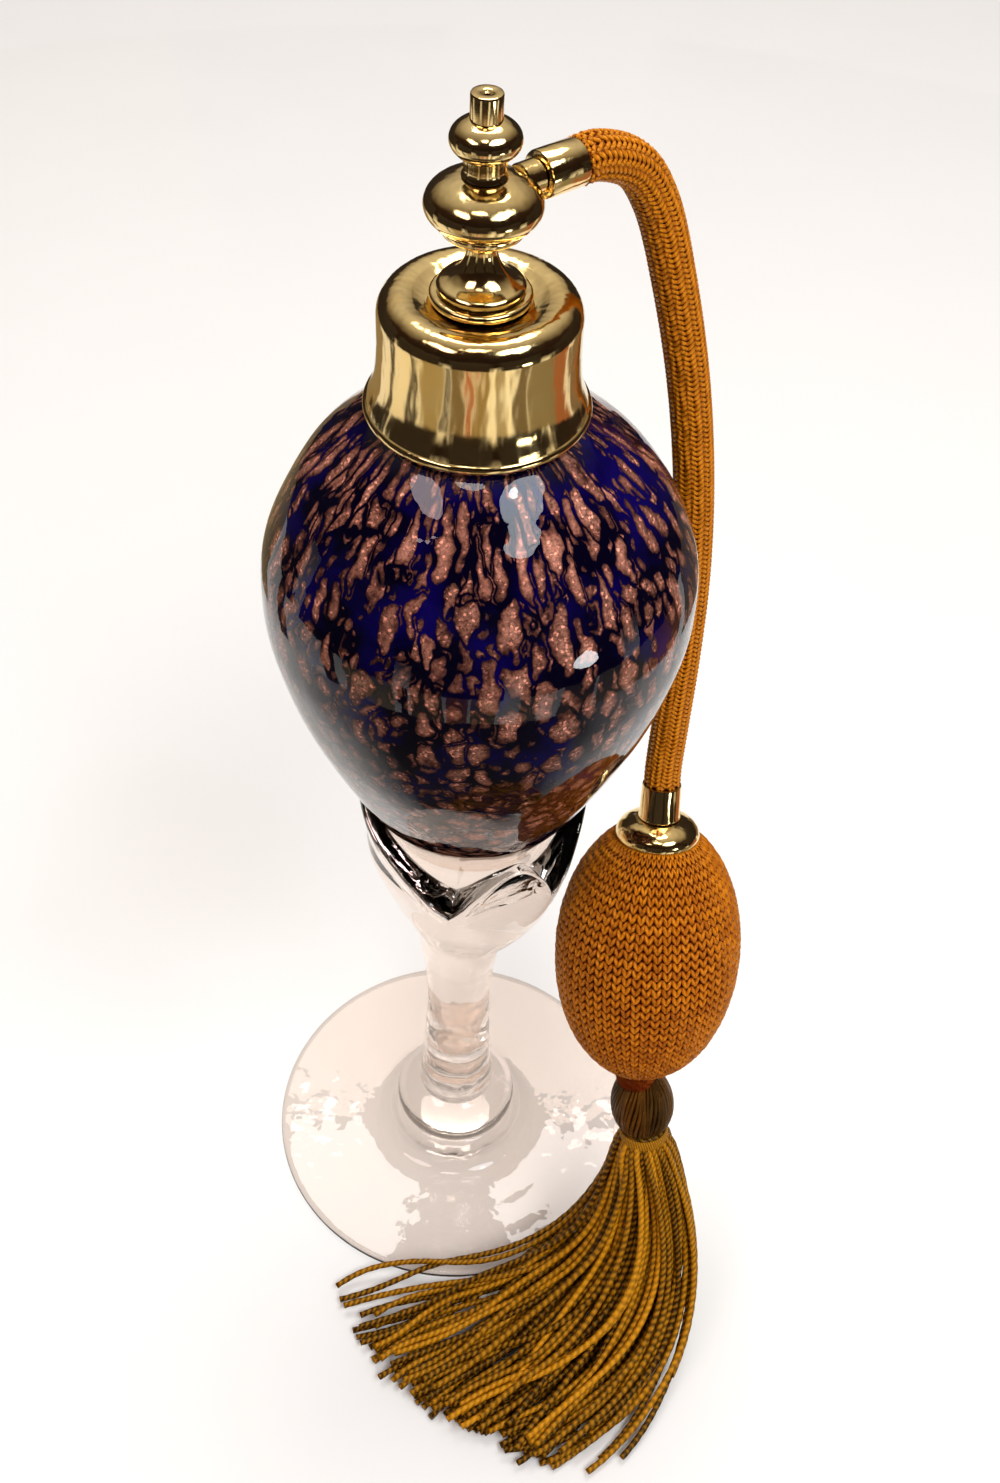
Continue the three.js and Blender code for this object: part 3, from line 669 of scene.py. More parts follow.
def stand_and_cup():
    """Foot, stem and petal cup as one piece of glass."""
    sides = 144
    round_rim = 0.85
    rim = arc(FOOT_RADIUS - round_rim, round_rim, round_rim, round_rim, -90, 90, 10)
    dome = smooth([
        (33.8, 1.75), (26, 2.1), (19, 2.6), (15.6, 3.2), (13.6, 4.2), (12.6, 5.2), (11.8, 6.6), (11.1, 7.5),
        (10.5, 7.9),
    ], 50)
    from_axis = dome[:, 0]
    rings = np.sin((from_axis - 9) * 1.15)
    dome[:, 1] += 0.045 * rings * np.clip((33 - from_axis) / 6, 0, 1) * np.clip((from_axis - 15) / 3, 0, 1)
    knop = arc(0, KNOP_Z, KNOP_RADIUS, 6.9, -24, 52, 18)
    shaft = smooth([
        (6.9, 18.2), (6.9, 20.4), (6.35, 23.6), (6.2, 29), (5.9, 37), (5.7, 45), (6.2, 54), (7, STEM_TOP),
    ], 40)
    outline = np.concatenate([rim, dome, knop, shaft])
    angles, cup = cup_rings(sides)
    rings = [(np.full(sides, r), np.full(sides, z)) for r, z in outline] + cup[:-1]
    points = [(0, 0, 0)]
    for r, z in rings:
        points.extend(about_axis(r, angles, z).tolist())
    points.append((0, 0, CUP_FLOOR_Z))
    faces = []
    for j in range(sides):
        k = (j + 1) % sides
        faces.append((0, 1 + k, 1 + j))
        last = 1 + (len(rings) - 1) * sides
        faces.append((last + j, last + k, len(points) - 1))
        for i in range(len(rings) - 1):
            a, b = 1 + i * sides, 1 + (i + 1) * sides
            faces.append((a + j, a + k, b + k, b + j))
    batch = Batch()
    batch.add(blown(np.array(points)), faces)
    return batch.build("stand_and_cup", CLEAR_GLASS, 60)


EGG_OUTSIDE = [
    (0, 80), (5.2, 81.7), (9, 86.4), (11.6, 92.2), (13.25, 98), (19.5, 110), (26, 126), (29.2, 138),
    (30, 146), (29, 154), (24, 164), (18.2, 170.2), (13.6, 174.1), (9.6, 176), (NECK_RADIUS, 178.4),
]
EGG_INSIDE = [
    (NECK_BORE, 178), (7, 175.4), (10, 173), (15.5, 169.2), (21, 163.6), (25.6, 154.5), (26.8, 146),
    (25.8, 137), (23, 127.5), (17.6, 115.5), (11.5, 107.3), (0, 104),
]


def egg():
    """The hollow egg with its neck."""
    neck = [
        (NECK_RADIUS, NECK_TOP - 0.5), (NECK_RADIUS - 0.4, NECK_TOP), (NECK_BORE + 0.4, NECK_TOP),
        (NECK_BORE, NECK_TOP - 0.4),
    ]
    outline = np.concatenate([smooth(EGG_OUTSIDE, 150), neck, smooth(EGG_INSIDE, 60)])
    return turned("egg", outline, CLEAR_GLASS, 144, warp=blown)


def add_glass():
    """The clear glass, joined into one piece, and the coloured layer under the egg's surface."""
    body = stand_and_cup()
    other = egg()
    join = body.modifiers.new("join", "BOOLEAN")
    join.operation = "UNION"
    join.solver = "MANIFOLD"
    join.object = other
    bpy.context.view_layer.update()
    mesh = bpy.data.meshes.new_from_object(body.evaluated_get(bpy.context.evaluated_depsgraph_get()))
    for old in (body, other):
        bpy.data.objects.remove(old)
    mesh.materials.clear()
    glass = finish_mesh("glass_body", mesh, CLEAR_GLASS, 50)
    place(glass, "bottle", "clear_glass", "glass_foot", "glass_stem", "glass_calyx", "glass_vessel")

    skin = smooth(EGG_OUTSIDE, 150)
    run = heading_of(skin)
    inward = np.stack([-run[:, 1], run[:, 0]], 1)
    above = skin[:, 1] > COLOUR_FROM_Z
    skin, inward = skin[above][:-2], inward[above][:-2]
    outer = skin + COLOUR_DEPTH * inward
    inner = skin + (COLOUR_DEPTH + COLOUR_WALL) * inward
    bowl = smooth([(0, 103.6), (7, 104.2), (12.4, 106.6), tuple(outer[0])], 16)[:-1]
    bowl_in = smooth([tuple(inner[0]), (11.8, 107.2), (6.8, 104.9), (0, 104.3)], 16)[1:]
    outline = np.concatenate([bowl, outer, inner[::-1], bowl_in])
    layer = turned("colour_layer", outline, ART_GLASS, 144, sharp=60, warp=blown)
    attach(layer, "bottle")


# ---- gold ----
def gold_piece(name, node, outline, sides, body="head", on=None):
    """A turned piece of gold plate in the place of a CAD piece."""
    place(turned(name, outline, GOLD, sides, closed=True, on=on), body, "gold_plate", node)


def add_gold():
    wall = 0.6
    shell = np.concatenate([
        [(13.5, 175.2)],
        arc(13.7, 175.9, 0.7, 0.7, -90, 70, 10),
        smooth([(13.75, 177.2), (13.05, 179.2), (12.7, 181.6), (12.5, 185)], 16),
        arc(9.5, 188.6, 3, 3, 0, 90, 16),
        smooth([(8.3, 191.35), (7.3, 190.9), (6.6, 190.7)], 8),
        [(3.3, 190.7), (3.3, 190.1), (7.2, 190.1)],
        arc(9.5, 188.6, 3 - wall, 3 - wall, 85, 0, 10),
        smooth([(12.5 - wall, 185), (12.1, 181.6), (12.45, 179.2), (13.1, 177)], 10),
    ])
    gold_piece("collar", "collar_shell", shell, 192, "collar")

    ring = np.concatenate([[(3.15, 190.85)], arc(5.73, 191.42, 0.57, 0.57, -90, 90, 10), [(3.15, 191.99)]])
    gold_piece("flange", "flange_ring", ring, 128)

    base = HEAD_BASE_Z + 0.05
    turret = np.concatenate([
        [(1.4, 183.6), (3, 183.6), (3, base), (5.25, base), (5.35, base + 0.1), (5.35, 192.75)],
        [(5.2, 192.95)],
        smooth([
            (5, 193.15), (3.8, 193.75), (2.65, 194.9), (2, 196.4), (1.85, 197.7), (2.2, 198.9), (3.4, 199.5),
        ], 30),
        [(4.6, 199.58), (4.85, 199.72), (4.95, 199.95), (4.95, 200.35), (4.85, 200.6)],
        arc(0, 203, 6.95, 3.6, -39, 63, 36),
        [(2.4, 206.3), (2.4, 201), (1.4, 200.2)],
    ])
    batch = Batch()
    batch.turn(turret, 160, closed=True)
    boss = [(0.0, 5), (1.9, 5), (2.1, 5.2), (2.1, 7.45), (1.9, 7.7), (0.0, 7.7)]
    batch.turn(boss, 64, ON_ARM)
    place(batch.build("turret", GOLD, 35), "head", "gold_plate", "turret_head")

    knob = np.concatenate([
        [(1.2, 205.6), (2.25, 205.6), (2.25, 206.35), (2.6, 206.35), (2.7, 206.45)],
        smooth([(2.6, 206.7), (2.42, 207.1), (2.5, 208)], 6),
        arc(0, 210.7, 4.15, 2.53, -50, 62, 30),
        [(1.2, 212.95)],
    ])
    gold_piece("top_knob", "upper_knob", knob, 128)

    post = [
        (0.75, 211.6), (1.1, 211.6), (1.1, 213), (1.87, 213), (1.87, 215.7), (1.84, 215.85), (1.77, 215.95),
        (1.62, 216), (0.8, 216), (0.62, 215.9), (0.35, 215.65), (0.35, 215.2), (0.75, 215.2),
    ]
    gold_piece("spray_post", "nozzle_post", post, 96)

    ferrule = [
        (1.3, 7.85), (2.6, 7.85), (2.78, 7.93), (2.85, 8.1), (2.85, 13.2), (2.8, 13.4), (2.68, FERRULE_END),
        (2.5, 13.45), (2.5, 8.45), (1.3, 8.45),
    ]
    gold_piece("hose_end", "hose_ferrule", ferrule, 96, on=ON_ARM)

    neck = [
        (2.9, 25.4), (3.3, 25.4), (3.4, 25.55), (3.38, 25.8), (3.25, 26.05), (3.15, 31.05), (3.08, 31.25),
        (2.95, FERRULE_HEAD), (2.5, FERRULE_HEAD),
    ]
    gold_piece("bulb_neck", "bulb_ferrule", neck, 96, on=ON_BULB)

    dome = np.concatenate([
        [(6.65, 22.05), (6.78, 22.12)],
        arc(2.65, 22.4, 4.15, 2.85, 0, 90, 24),
        arc(2.65, 22.05, 3.65, 2.7, 90, 0, 12),
    ])
    gold_piece("bulb_cap", "bulb_dome", dome, 128, on=ON_BULB)


# ---- hose ----
def hose_route():
    """The hose's centreline: out of the arm, over, and down to the bulb, as points along a smooth curve."""
    stops = np.array([
        on_arm(FERRULE_END + 0.15), on_arm(FERRULE_END + 2.5), (17.6, 13.6, 201.2), (21.1, 15.6, 195.4),
        (25, 16.4, 183), (28.6, 15.8, 167.8), (31, 13.9, 152.3), (32.1, 11.3, 138), (32.1, 8.2, 124.5),
        (31.7, 5.6, 112), on_bulb_axis(FERRULE_HEAD + 3), on_bulb_axis(FERRULE_HEAD + 0.15),
    ])
    knots = np.concatenate([[0], np.cumsum(np.linalg.norm(np.diff(stops, axis=0), axis=1) ** 0.5)])
    padded = np.concatenate([[2 * stops[0] - stops[1]], stops, [2 * stops[-1] - stops[-2]]])
    at = np.concatenate([[2 * knots[0] - knots[1]], knots, [2 * knots[-1] - knots[-2]]])
    out = []
    for i in range(1, len(padded) - 2):
        for t in np.linspace(at[i], at[i + 1], 40, endpoint=i == len(padded) - 3):
            a, b, c, d = padded[i - 1:i + 3]
            ta, tb, tc, td = at[i - 1:i + 3]
            p = (a * (tb - t) + b * (t - ta)) / (tb - ta)
            q = (b * (tc - t) + c * (t - tb)) / (tc - tb)
            r = (c * (td - t) + d * (t - tc)) / (td - tc)
            p = (p * (tc - t) + q * (t - ta)) / (tc - ta)
            q = (q * (td - t) + r * (t - tb)) / (td - tb)
            out.append((p * (tc - t) + q * (t - tb)) / (tc - tb))
    return np.array(out)


def path_length(path):
    return float(np.linalg.norm(np.diff(path, axis=0), axis=1).sum())


def add_hose():
    """The braid over the hose: eighteen yarns each way, two over and two under."""
    carriers = 18
    pitch = 14.2
    middle = 2.56
    yarn = 0.3
    route = even(hose_route(), 450)
    length = path_length(route)
    _, side, over = frames(route)
    s = np.linspace(0, length, len(route))
    batch = Batch()
    # Painted shade: a core tube in the braid's darkest colour shows in the gaps between yarns.
    batch.tube(even(route, 90), 2.25, 12, shade=0.0)
    # Painted shade round each yarn: light on top, dark at its sides and underside.
    crown = np.array((0.7, 1.0, 0.7, 0.02, 0.02))
    for way in (1, -1):
        for c in range(carriers):
            angle = TAU * c / carriers + way * TAU * s / pitch
            wave = way * np.cos(carriers / 2 * angle)
            out = np.cos(angle)[:, None] * side + np.sin(angle)[:, None] * over
            line = route + (middle + 0.19 * np.tanh(2.0 * wave))[:, None] * out
            heading = heading_of(line)
            across = unit(np.cross(heading, out))
            # Painted shade: a yarn is also darker where it dips under the yarns crossing it.
            shade = np.clip(0.4 + 0.55 * wave, 0, 1)[:, None] * crown
            turned_by = (heading, across, out)
            batch.tube(line, yarn, 5, shade.ravel(), flat=0.8, frame_of=turned_by, start=TAU / 20)
    braid = batch.build("hose_braid", BRAID)
    place(braid, "head", "gold_braid", "braid_sleeve")
    return braid, route, length


# ---- squeeze bulb ----
def bulb_outline(inset):
    """The bulb's wall from the dome down to the gathered tail, as (radius, height)."""
    wall = arc(0, 0, BULB_RADIUS - inset, BULB_HALF - inset, 61, -76, 120)
    tail = smooth([tuple(wall[-1]), (3.7 - 0.5 * inset, -25.0), (3.3 - 0.5 * inset, -26.6)], 10)[1:]
    return np.concatenate([[(6.9 - inset, 21.5)], wall, tail])


GRAIN_SIDES = 5
GRAIN_RINGS = ((-0.3, 0.8), (0.0, 1.0), (0.3, 0.8))
# Painted shade round a grain: light on top, dark at its sides and underneath.
GRAIN_PAINTED_SHADE = (0.5, 1.0, 0.5, 0.0, 0.0)


def grain(centre, axis, side, out, length, width, depth):
    """Points of a plump grain of yarn: five-sided, pointed at both ends."""
    angles = np.arange(GRAIN_SIDES) / GRAIN_SIDES * TAU + TAU / 20
    points = [centre - axis * length / 2]
    for at, size in GRAIN_RINGS:
        for a in angles:
            outward = math.cos(a) * side * width + math.sin(a) * out * depth
            points.append(centre + axis * length * at + size * outward)
    points.append(centre + axis * length / 2)
    return points


def grain_faces():
    """Faces of a grain: a fan at each end and rows of four-sided faces between its rings."""
    faces = []
    for j in range(GRAIN_SIDES):
        faces.append((0, 1 + (j + 1) % GRAIN_SIDES, 1 + j))
    for ring in range(len(GRAIN_RINGS) - 1):
        low = 1 + ring * GRAIN_SIDES
        high = low + GRAIN_SIDES
        for j in range(GRAIN_SIDES):
            k = (j + 1) % GRAIN_SIDES
            faces.append((low + j, low + k, high + k, high + j))
    for j in range(GRAIN_SIDES):
        faces.append((high + GRAIN_SIDES, high + j, high + (j + 1) % GRAIN_SIDES))
    return faces


def add_bulb():
    """The knitted net: columns of V-shaped stitches over a dark base, closing in to the tail."""
    rng = random.Random(11)
    columns = 58
    row_height = 1.5
    line = bulb_outline(0.45)
    rows = int(path_length(line) / row_height)
    line = even(line, rows + 1)
    run = heading_of(line)
    faces = grain_faces()
    batch = Batch()
    for i in range(rows + 1):
        r, z = line[i]
        pitch = TAU * r / columns
        first = i == 0
        for c in range(columns):
            angle = TAU * (c + rng.uniform(-0.04, 0.04)) / columns + 0.004 * i
            # A random tone per stitch, raised a little in the first row and painted darker towards the tail,
            # as shade where the net gathers in.
            tone = (rng.uniform(0.5, 0.95) + (0.2 if first else 0)) * min(1.0, max(0.0, r - 3.1) / 2)
            for way in (-1, 1):
                turn = angle + way * 0.21 * TAU / columns
                radial = np.array((math.cos(turn), math.sin(turn), 0))
                tangent = np.array((-math.sin(turn), math.cos(turn), 0))
                down = radial * run[i, 0] + np.array((0, 0, run[i, 1]))
                out = np.cross(tangent, down)
                out *= 1 if out @ radial > 0 else -1
                lean = -way * min(0.42, 0.27 * pitch)
                axis = down + tangent * lean
                axis /= np.linalg.norm(axis)
                side = np.cross(out, axis)
                side /= np.linalg.norm(side)
                centre = radial * r + np.array((0, 0, z)) + rng.uniform(-0.05, 0.05) * out
                wide = min(0.40, 0.28 * pitch) * (1.25 if first else 1)
                deep = max(0.3, min(0.46, 0.36 * pitch))
                points = grain(centre, axis, side, out, row_height * 1.5, wide, deep)
                # Painted shade along each grain too: darker towards its ends and darkest at its tips.
                shades = [tone * k * crown for k in (0.8, 1, 0.85) for crown in GRAIN_PAINTED_SHADE]
                batch.add(moved(points, ON_BULB), faces, 0.0, [0.05, *shades, 0.1])
    net = batch.build("bulb_net", NET)
    place(net, "head", "gold_net", "net_cover")

    # Painted shade: a near-black lining under the net shows in the gaps between stitches.
    shell = np.concatenate([bulb_outline(0.85), bulb_outline(1.15)[::-1]])
    lining = turned("net_lining", shell, NET_PAINTED_SHADE, 96, closed=True, on=ON_BULB)
    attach(lining, "head")
    inner = np.concatenate([
        [(2.65, -22.5)],
        arc(0, 0, 14, 23.2, -74, 62, 60),
        [(4.8, 21.3), (4.4, 23.4), (2.65, 23.4), (2.65, 19.6)],
        arc(0, 0, 12, 21.2, 56, -66, 40),
        [(2.65, -20.4)],
    ])
    rubber = turned("bulb_rubber", inner, BULB_RUBBER, 64, closed=True, on=ON_BULB)
    place(rubber, "head", "bulb_rubber", "rubber_bulb")
    for soft in (net, lining, rubber):
        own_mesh(soft)


# ---- tassel ----
def on_tassel(height):
    return TASSEL_HEAD_CENTRE + TASSEL_HEAD_UP * height


# Centre, half width and half height of the skirt, from the tassel's waist to its ends.
SKIRT = [
    (on_tassel(-6.6), 3.7, 3.7), (on_tassel(-9.6), 4.8, 4.3), ((34.7, -25.4, 27), 7.5, 5.4),
    ((34.2, -32.6, 17.6), 12.2, 5.8), ((29.8, -40.2, 10.6), 16.8, 5.4), ((22.6, -47.8, 6.4), 20.2, 4.4),
    ((14.6, -54.2, 4), 22.4, 3.2), ((7.5, -58.6, 2.4), 23.4, 2), ((1.2, -62.6, 1.5), 24, 1.4),
    ((-5, -66.4, 1.2), 24.5, 1.2),
]
# How far the strands reach past a point of the skirt, by their place across it from -1 to 1.
SKIRT_MARK = np.array((7.5, -57.8))
SKIRT_RUN = np.array((-0.8, -0.6))
SKIRT_ENDS = np.array((
    (-1.3, 13), (-1, 11.5), (-0.7, 13.5), (0, 7.5), (0.5, 1.5), (0.75, -6), (0.9, -17), (1.0, -27),
    (1.2, -32),
))
STRAND_RADIUS = 0.57


def skirt_frames(count):
    """Centre, side and over vectors with half sizes along the skirt."""
    table = np.array([(*centre, width, height) for centre, width, height in SKIRT], float)
    table = smooth(table, count - 1)
    centre = table[:, :3]
    run = heading_of(centre)
    across = np.array((0.8, -0.6, 0.0))
    side = unit(across - run * (run @ across)[:, None])
    over = np.cross(side, run)
    over *= np.where(over[:, 2:] < 0, -1, 1)
    return centre, side * table[:, 3:4], over * table[:, 4:5]


def resting_height(points, radius):
    """The lowest a strand's centre may be: on the table, or on the foot where it crosses it."""
    from_axis = np.hypot(points[..., 0], points[..., 1])
    on_foot = np.clip((36.2 - from_axis) / 2.2, 0, 1)
    return radius + 0.05 + 2.25 * on_foot * on_foot * (3 - 2 * on_foot)


def settle(strands, radius, rounds):
    """Pushes strands apart where they would pass through each other, and lifts them onto what they lie on."""
    for _ in range(rounds):
        for k in range(3, strands.shape[1]):
            p = strands[:, k]
            gap = p[:, None] - p[None]
            distance = np.linalg.norm(gap, axis=2)
            np.fill_diagonal(distance, 9)
            near = np.clip(2 * radius * 0.96 - distance, 0, None)
            push = (gap / np.maximum(distance, 1e-3)[..., None] * near[..., None]).sum(1) * 0.3
            strands[:, k] = p + np.clip(push, -0.35, 0.35)
        strands[:, 2:-1] = 0.25 * strands[:, 1:-2] + 0.5 * strands[:, 2:-1] + 0.25 * strands[:, 3:]
        strands[..., 2] = np.maximum(strands[..., 2], resting_height(strands, radius))
    return strands


def raised(outline):
    """Draws the upper half of the tassel's head up round the bulb's tail."""
    outline = np.array(outline, float)
    outline[:, 1] += 0.26 * np.clip(outline[:, 1] + 1, 0, None)
    return outline


def add_skirt(rng):
    """The loose strands, which fan out from the waist and fall over the foot onto the table."""
    count = 112
    steps = 44
    radius = STRAND_RADIUS
    centre, side, over = skirt_frames(steps)
    index = np.arange(count) + 0.5
    disc_r = np.sqrt(index / count)
    disc_a = index * GOLDEN_ANGLE
    u = disc_r * np.cos(disc_a)
    v = disc_r * np.sin(disc_a)
    share = np.linspace(0, 1, steps)
    fan = np.clip(share * 1.5, 0, 1)
    wander_u = rng.normal(0, 0.13, (count, 1)) * fan
    wander_u = wander_u + rng.normal(0, 0.12, (count, 1)) * np.sin(share * 5) * fan
    wander_v = rng.normal(0, 0.22, (count, 1)) * fan
    wave_phase = rng.uniform(0, TAU, (count, 1))
    wave = 0.05 * np.sin(share * rng.uniform(9, 19, (count, 1)) + wave_phase) * fan
    stray = np.argsort(u)[:3]
    wander_u[stray] -= np.array((0.28, 0.16, 0.34))[:, None] * np.clip(share * 2 - 0.8, 0, 1) ** 1.5
    uu = u[:, None] + wander_u + wave
    vv = v[:, None] + wander_v
    strands = centre[None] + side[None] * uu[..., None] + over[None] * vv[..., None]
    fall = np.clip((uu - 0.3) / 0.7, 0, 1) * np.clip((share - 0.3) / 0.3, 0, 1)
    strands[..., 2] *= 1 - 0.8 * fall
    strands = settle(strands, radius, 14)

    batch = Batch()
    for i in range(count):
        path = even(strands[i], 120)
        reach = (path[:, :2] - SKIRT_MARK) @ SKIRT_RUN
        place_across = float(np.interp(0.8, share, uu[i]))
        end = np.interp(place_across, SKIRT_ENDS[:, 0], SKIRT_ENDS[:, 1]) + rng.uniform(-3, 1.5)
        cut = 60 + int(np.argmax(reach[60:] > end)) if reach[60:].max() > end else 120
        path = even(path[:cut], 60)
        # Each strand has a random tone with painted shade: darker where it lies under other strands, and
        # darker again where it lies on the table or the foot.
        tone = rng.uniform(0.0, 1.0) * (0.65 + 0.35 * v[i])
        above = np.clip((path[:, 2] - resting_height(path, radius)) / 2.5, 0, 1)
        shade = tone * (0.6 + 0.4 * above)
        batch.tube(path, radius * rng.uniform(0.92, 1.04), 6, np.repeat(shade, 6), twist=0.4)
    place(batch.build("tassel_strands", TASSEL), "head", "tassel_thread", "tassel_skirt")


def add_tassel_head(rng):
    """The head: threads laid side by side over a near-black core, which is painted shade between them."""
    batch = Batch()
    barrel = np.concatenate([
        [(0, -5.4)], arc(0, 0, 5.0, 6.2, -56, 56, 24), [(2.2, 4.6), (1.2, 3.4), (0, 3.1)],
    ])
    # Painted shade: the core's near-black shows between the threads and in the hollow top.
    batch.turn(raised(barrel), 48, ON_TASSEL, 0.05)
    threads = 52
    for t in range(threads):
        turn = TAU * (t + rng.uniform(-0.15, 0.15)) / threads
        profile = raised(np.concatenate([
            smooth([(1.4, 3.6), (2.2, 5.0), (3.4, 5.55)], 6)[:-1],
            arc(0, 0, 5.25, 6.4, 50, -56, 26),
        ]))
        angle = turn + 0.10 * np.sin(profile[:, 1] * 0.35 + t) * 0.6 + 0.03 * profile[:, 1]
        line = about_axis(profile[:, 0], angle, profile[:, 1])
        size = np.clip(0.07 * profile[:, 0], 0.14, 0.36)
        shade = 0.5 + 0.3 * math.sin(3.1 * turn) + rng.uniform(-0.2, 0.2)
        batch.tube(moved(line, ON_TASSEL), size, 6, shade)
    place(batch.build("tassel_knob", TASSEL_HEAD), "head", "tassel_thread", "tassel_head")


def add_tassel_binding():
    """The thread wound six times round the waist."""
    batch = Batch()
    turns = 6
    t = np.linspace(0, 1, turns * 28)
    line = about_axis(4.12, TAU * turns * t, -5.65 - 1.7 * t)
    batch.tube(moved(line, ON_TASSEL), 0.26, 6, 0.6)
    # Painted shade: a near-black cylinder under the winding shows between its turns.
    batch.turn([(0, -5.5), (3.9, -5.5), (3.9, -7.4), (0, -7.4)], 40, ON_TASSEL, 0.05)
    place(batch.build("tassel_wrap", TASSEL), "head", "gold_braid", "tassel_binding")


def add_tassel():
    rng = np.random.default_rng(5)
    add_skirt(rng)
    add_tassel_head(rng)
    add_tassel_binding()


# ---- hidden CAD pieces ----
HIDDEN = {
    "neck_sleeve": BRASS, "retaining_nut": BRASS, "nozzle_jet": BRASS, "hose_nipple": BRASS,
    "outlet_valve": BRASS, "inlet_valve": BRASS, "outlet_ball": STEEL, "inlet_ball": STEEL,
    "collar_liner": WHITE_PLASTIC, "dip_tube": TUBE_PLASTIC, "sealing_washer": BLACK_RUBBER,
    "rubber_hose": BLACK_RUBBER, "tassel_cord": TASSEL,
}


def finish_hidden():
    for name, look in HIDDEN.items():
        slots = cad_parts[name].data.materials
        slots.clear()
        slots.append(look)


# ---- studio ----
def add_light(name, place, size, power, color, target=(0, 0, 0.1)):
    """A soft light of a size in metres and a power in watts, turned to a target."""
    data = bpy.data.lights.new(name, "AREA")
    data.shape = "ELLIPSE"
    data.size, data.size_y = size
    data.energy = power
    data.color = color
    light = bpy.data.objects.new(name, data)
    light.location = place
    light.rotation_mode = "QUATERNION"
    light.rotation_quaternion = (Vector(target) - Vector(place)).to_track_quat("-Z", "Y")
    bpy.context.collection.objects.link(light)
    return light


CARD_HEIGHT = 0.0012


def band(turns, low, high):
    """Points and faces of a strip round the set. Its edges are given as (radius, height) in metres."""
    points = [(r * math.sin(t), -r * math.cos(t), z) for r, z in (low, high) for t in turns]
    count = len(turns)
    return points, [(k, k + 1, count + k + 1, count + k) for k in range(count - 1)]


def span(start, end, count):
    """Azimuths between two angles in degrees from the front."""
    return np.radians(np.linspace(start, end, count))


def card_look(name, color):
    look = Look(name, color, Roughness=0.7)
    look.color(look.mix(look.noise(look.place(), 0.01, 3), color, dimmed(color, 0.7)))
    return look.material


def add_card(name, strip, look):
    """A card beside the set, which only gold and glass pick up."""
    points, faces = strip
    mesh = bpy.data.meshes.new(name)
    mesh.from_pydata(points, [], faces)
    card = finish_mesh(name, mesh, look, 180)
    for ray in ("camera", "diffuse", "shadow", "transmission"):
        setattr(card, "visible_" + ray, False)
    return card


def add_surround(radius, top, tone, spans):
    """Dark panels standing in a ring round the set."""
    for i, (start, end) in enumerate(spans):
        strip = band(span(start, end, 12), (radius, 0.0), (radius, top))
        add_card(f"panel_{i}", strip, card_look(f"panel_{i}", tone))


def add_floor_cards(near, far, spans):
    """Cards lying on the floor round the set."""
    for i, (start, end, tone) in enumerate(spans):
        strip = band(span(start, end, 10), (near, CARD_HEIGHT), (far, CARD_HEIGHT))
        add_card(f"floor_card_{i}", strip, card_look(f"floor_card_{i}", tone))


def add_front_card(near, far, reach):
    """A dark card lying in front of the set, fading into the floor's own tone towards its sides."""
    look = Look("front_card_fading", (0.03, 0.02, 0.016), Roughness=0.7)
    x, y, _ = look.split(look.place())
    turn = look.math("ARCTAN2", look.math("ABSOLUTE", x), look.times(y, -1.0))
    look.color(look.mix(look.range(turn, 0.8, 1.7), (0.025, 0.018, 0.015), (0.8, 0.78, 0.76)))
    strip = band(span(-reach, reach, 40), (near, CARD_HEIGHT), (far, CARD_HEIGHT))
    add_card("front_card", strip, look.material)


def add_pale_wall(radius, top):
    """A pale wall round the set that only clear glass picks up, so that it doesn't look black."""
    strip = band(np.linspace(0, TAU, 49), (radius, 0.0), (radius, top))
    wall = add_card("pale_wall", strip, card_look("pale_wall", (0.85, 0.83, 0.8)))
    wall.visible_glossy = False
    wall.visible_transmission = True


def add_floor(reach):
    mesh = bpy.data.meshes.new("floor")
    corners = [(-reach, -reach, 0), (reach, -reach, 0), (reach, reach, 0), (-reach, reach, 0)]
    mesh.from_pydata(corners, [], [(0, 1, 2, 3)])
    floor = finish_mesh("floor", mesh, floor_look(), 180)
    floor.location.z = -0.0001


def add_world():
    """Pale surroundings above and behind, dark ones towards the front."""
    world = bpy.data.worlds.new("studio")
    world.use_nodes = True
    tree = world.node_tree
    background = tree.nodes["Background"]
    coordinate = tree.nodes.new("ShaderNodeTexCoord")
    facing = tree.nodes.new("ShaderNodeVectorMath")
    facing.operation = "DOT_PRODUCT"
    facing.inputs[1].default_value = (0.0, 0.5, 0.87)
    ramp = tree.nodes.new("ShaderNodeValToRGB")
    tree.links.new(coordinate.outputs["Generated"], facing.inputs[0])
    tree.links.new(facing.outputs["Value"], ramp.inputs[0])
    tree.links.new(ramp.outputs[0], background.inputs[0])
    set_stops(ramp, (
        (0.0, (0.02, 0.012, 0.01)), (0.5, (0.035, 0.018, 0.012)), (0.7, (0.32, 0.27, 0.21)),
        (1.0, (0.95, 0.88, 0.8)),
    ))
    background.inputs[1].default_value = 0.8
    bpy.context.scene.world = world


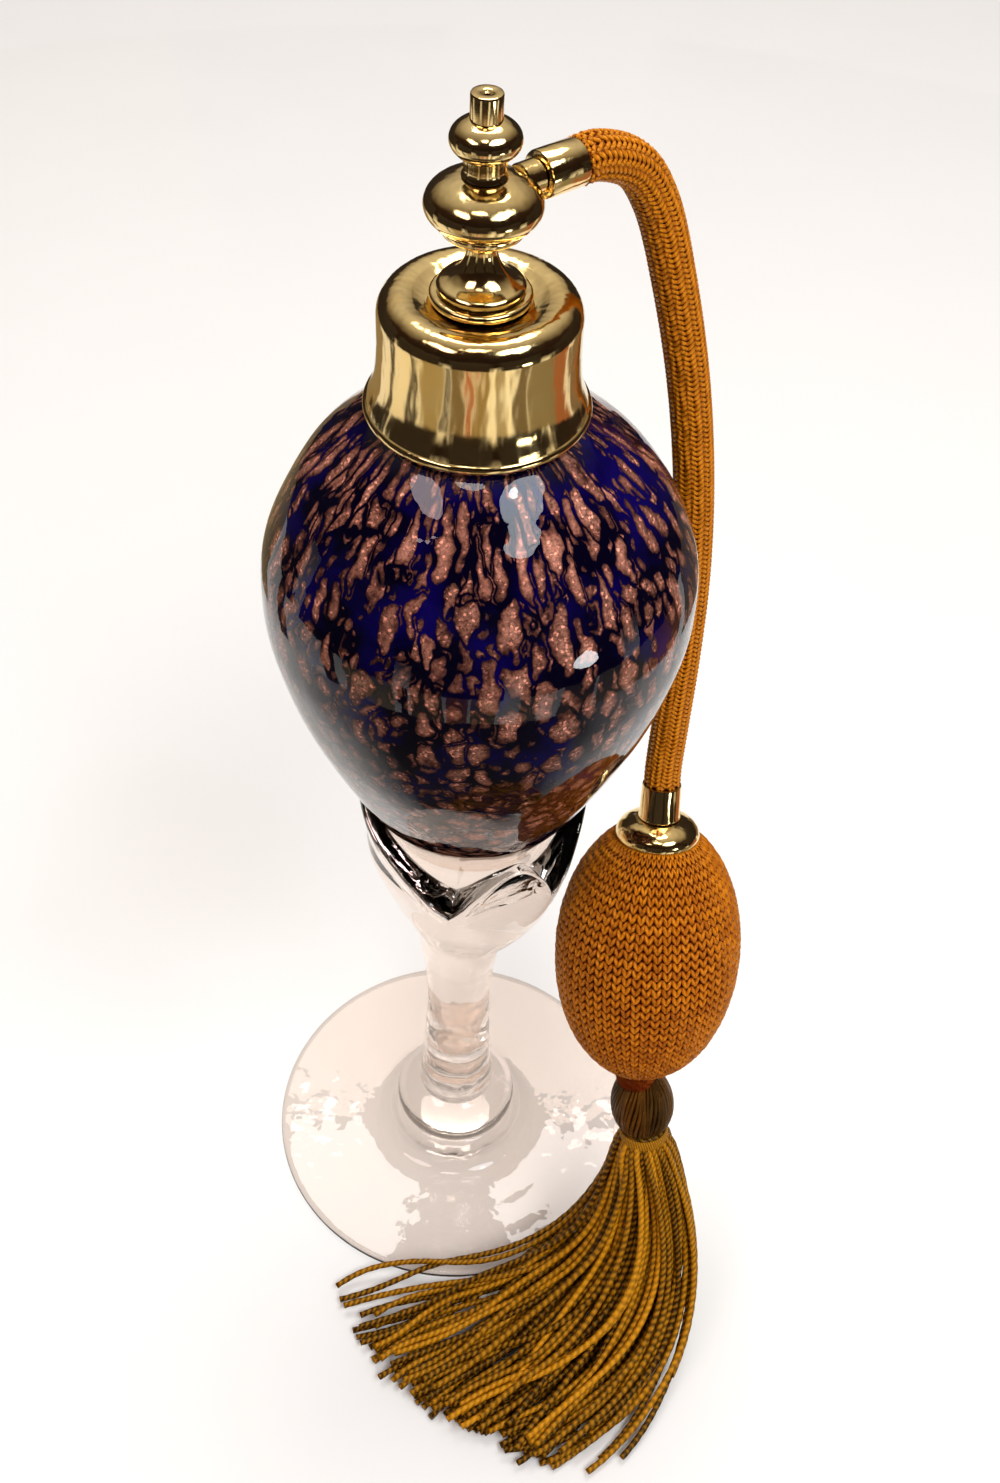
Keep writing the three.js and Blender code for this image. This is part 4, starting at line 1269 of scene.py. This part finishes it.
def add_studio():
    add_floor(3.0)
    add_surround(0.5, 0.34, (0.02, 0.011, 0.008), ((-178, -100), (-92, -38), (-30, 12), (20, 70), (80, 172)))
    add_pale_wall(1.5, 1.6)
    add_front_card(0.0365, 0.2, 100)
    add_floor_cards(0.2, 0.5, (
        (-165, -128, (0.3, 0.22, 0.1)), (-112, -104, (0.05, 0.03, 0.015)), (-76, -69, (0.03, 0.02, 0.01)),
        (-64, -38, (0.4, 0.33, 0.2)), (-36, -31, (0.02, 0.012, 0.008)), (-29, -14, (0.2, 0.15, 0.08)),
        (-12, -4, (0.42, 0.16, 0.08)), (-2, 10, (0.3, 0.22, 0.1)), (19, 27, (0.36, 0.3, 0.2)),
        (40, 56, (0.16, 0.12, 0.07)), (58, 88, (0.24, 0.2, 0.13)), (88, 112, (0.34, 0.12, 0.05)),
        (118, 150, (0.2, 0.14, 0.08)),
    ))
    add_world()

    add_light("left", (-0.54, -0.38, 1.04), (0.56, 0.27), 2.0, (1, 0.84, 0.87))
    add_light("window", (0.5, -0.36, 1.07), (0.68, 0.36), 4.1, (0.84, 0.92, 1))
    add_light("window_core", (0.43, -0.36, 1.12), (0.14, 0.1), 0.6, (1, 1, 1))
    add_light("brow", (-0.05, -0.36, 1.2), (0.3, 0.16), 0.7, (1, 0.96, 0.9))
    add_light("overhead", (0.0, 0.42, 1.15), (0.8, 0.5), 6.6, (1, 0.98, 0.95))
    add_light("glint", (0.21, -0.18, 0.135), (0.06, 0.03), 0.06, (0.95, 0.98, 1), (0.014, -0.025, 0.155))
    fill = add_light("fill", (0.3, -0.75, 1.1), (0.6, 0.6), 6.6, (1, 0.97, 0.92))
    fill.visible_glossy = False
    fill.visible_transmission = False
    bpy.context.scene.cycles.caustics_refractive = False
    bpy.context.scene.cycles.caustics_reflective = False
    bpy.context.scene.view_settings.view_transform = "Standard"


add_camera()
braid, route, hose_length = add_hose()
add_bulb()
add_tassel()
add_glass()
add_gold()
finish_hidden()
add_studio()
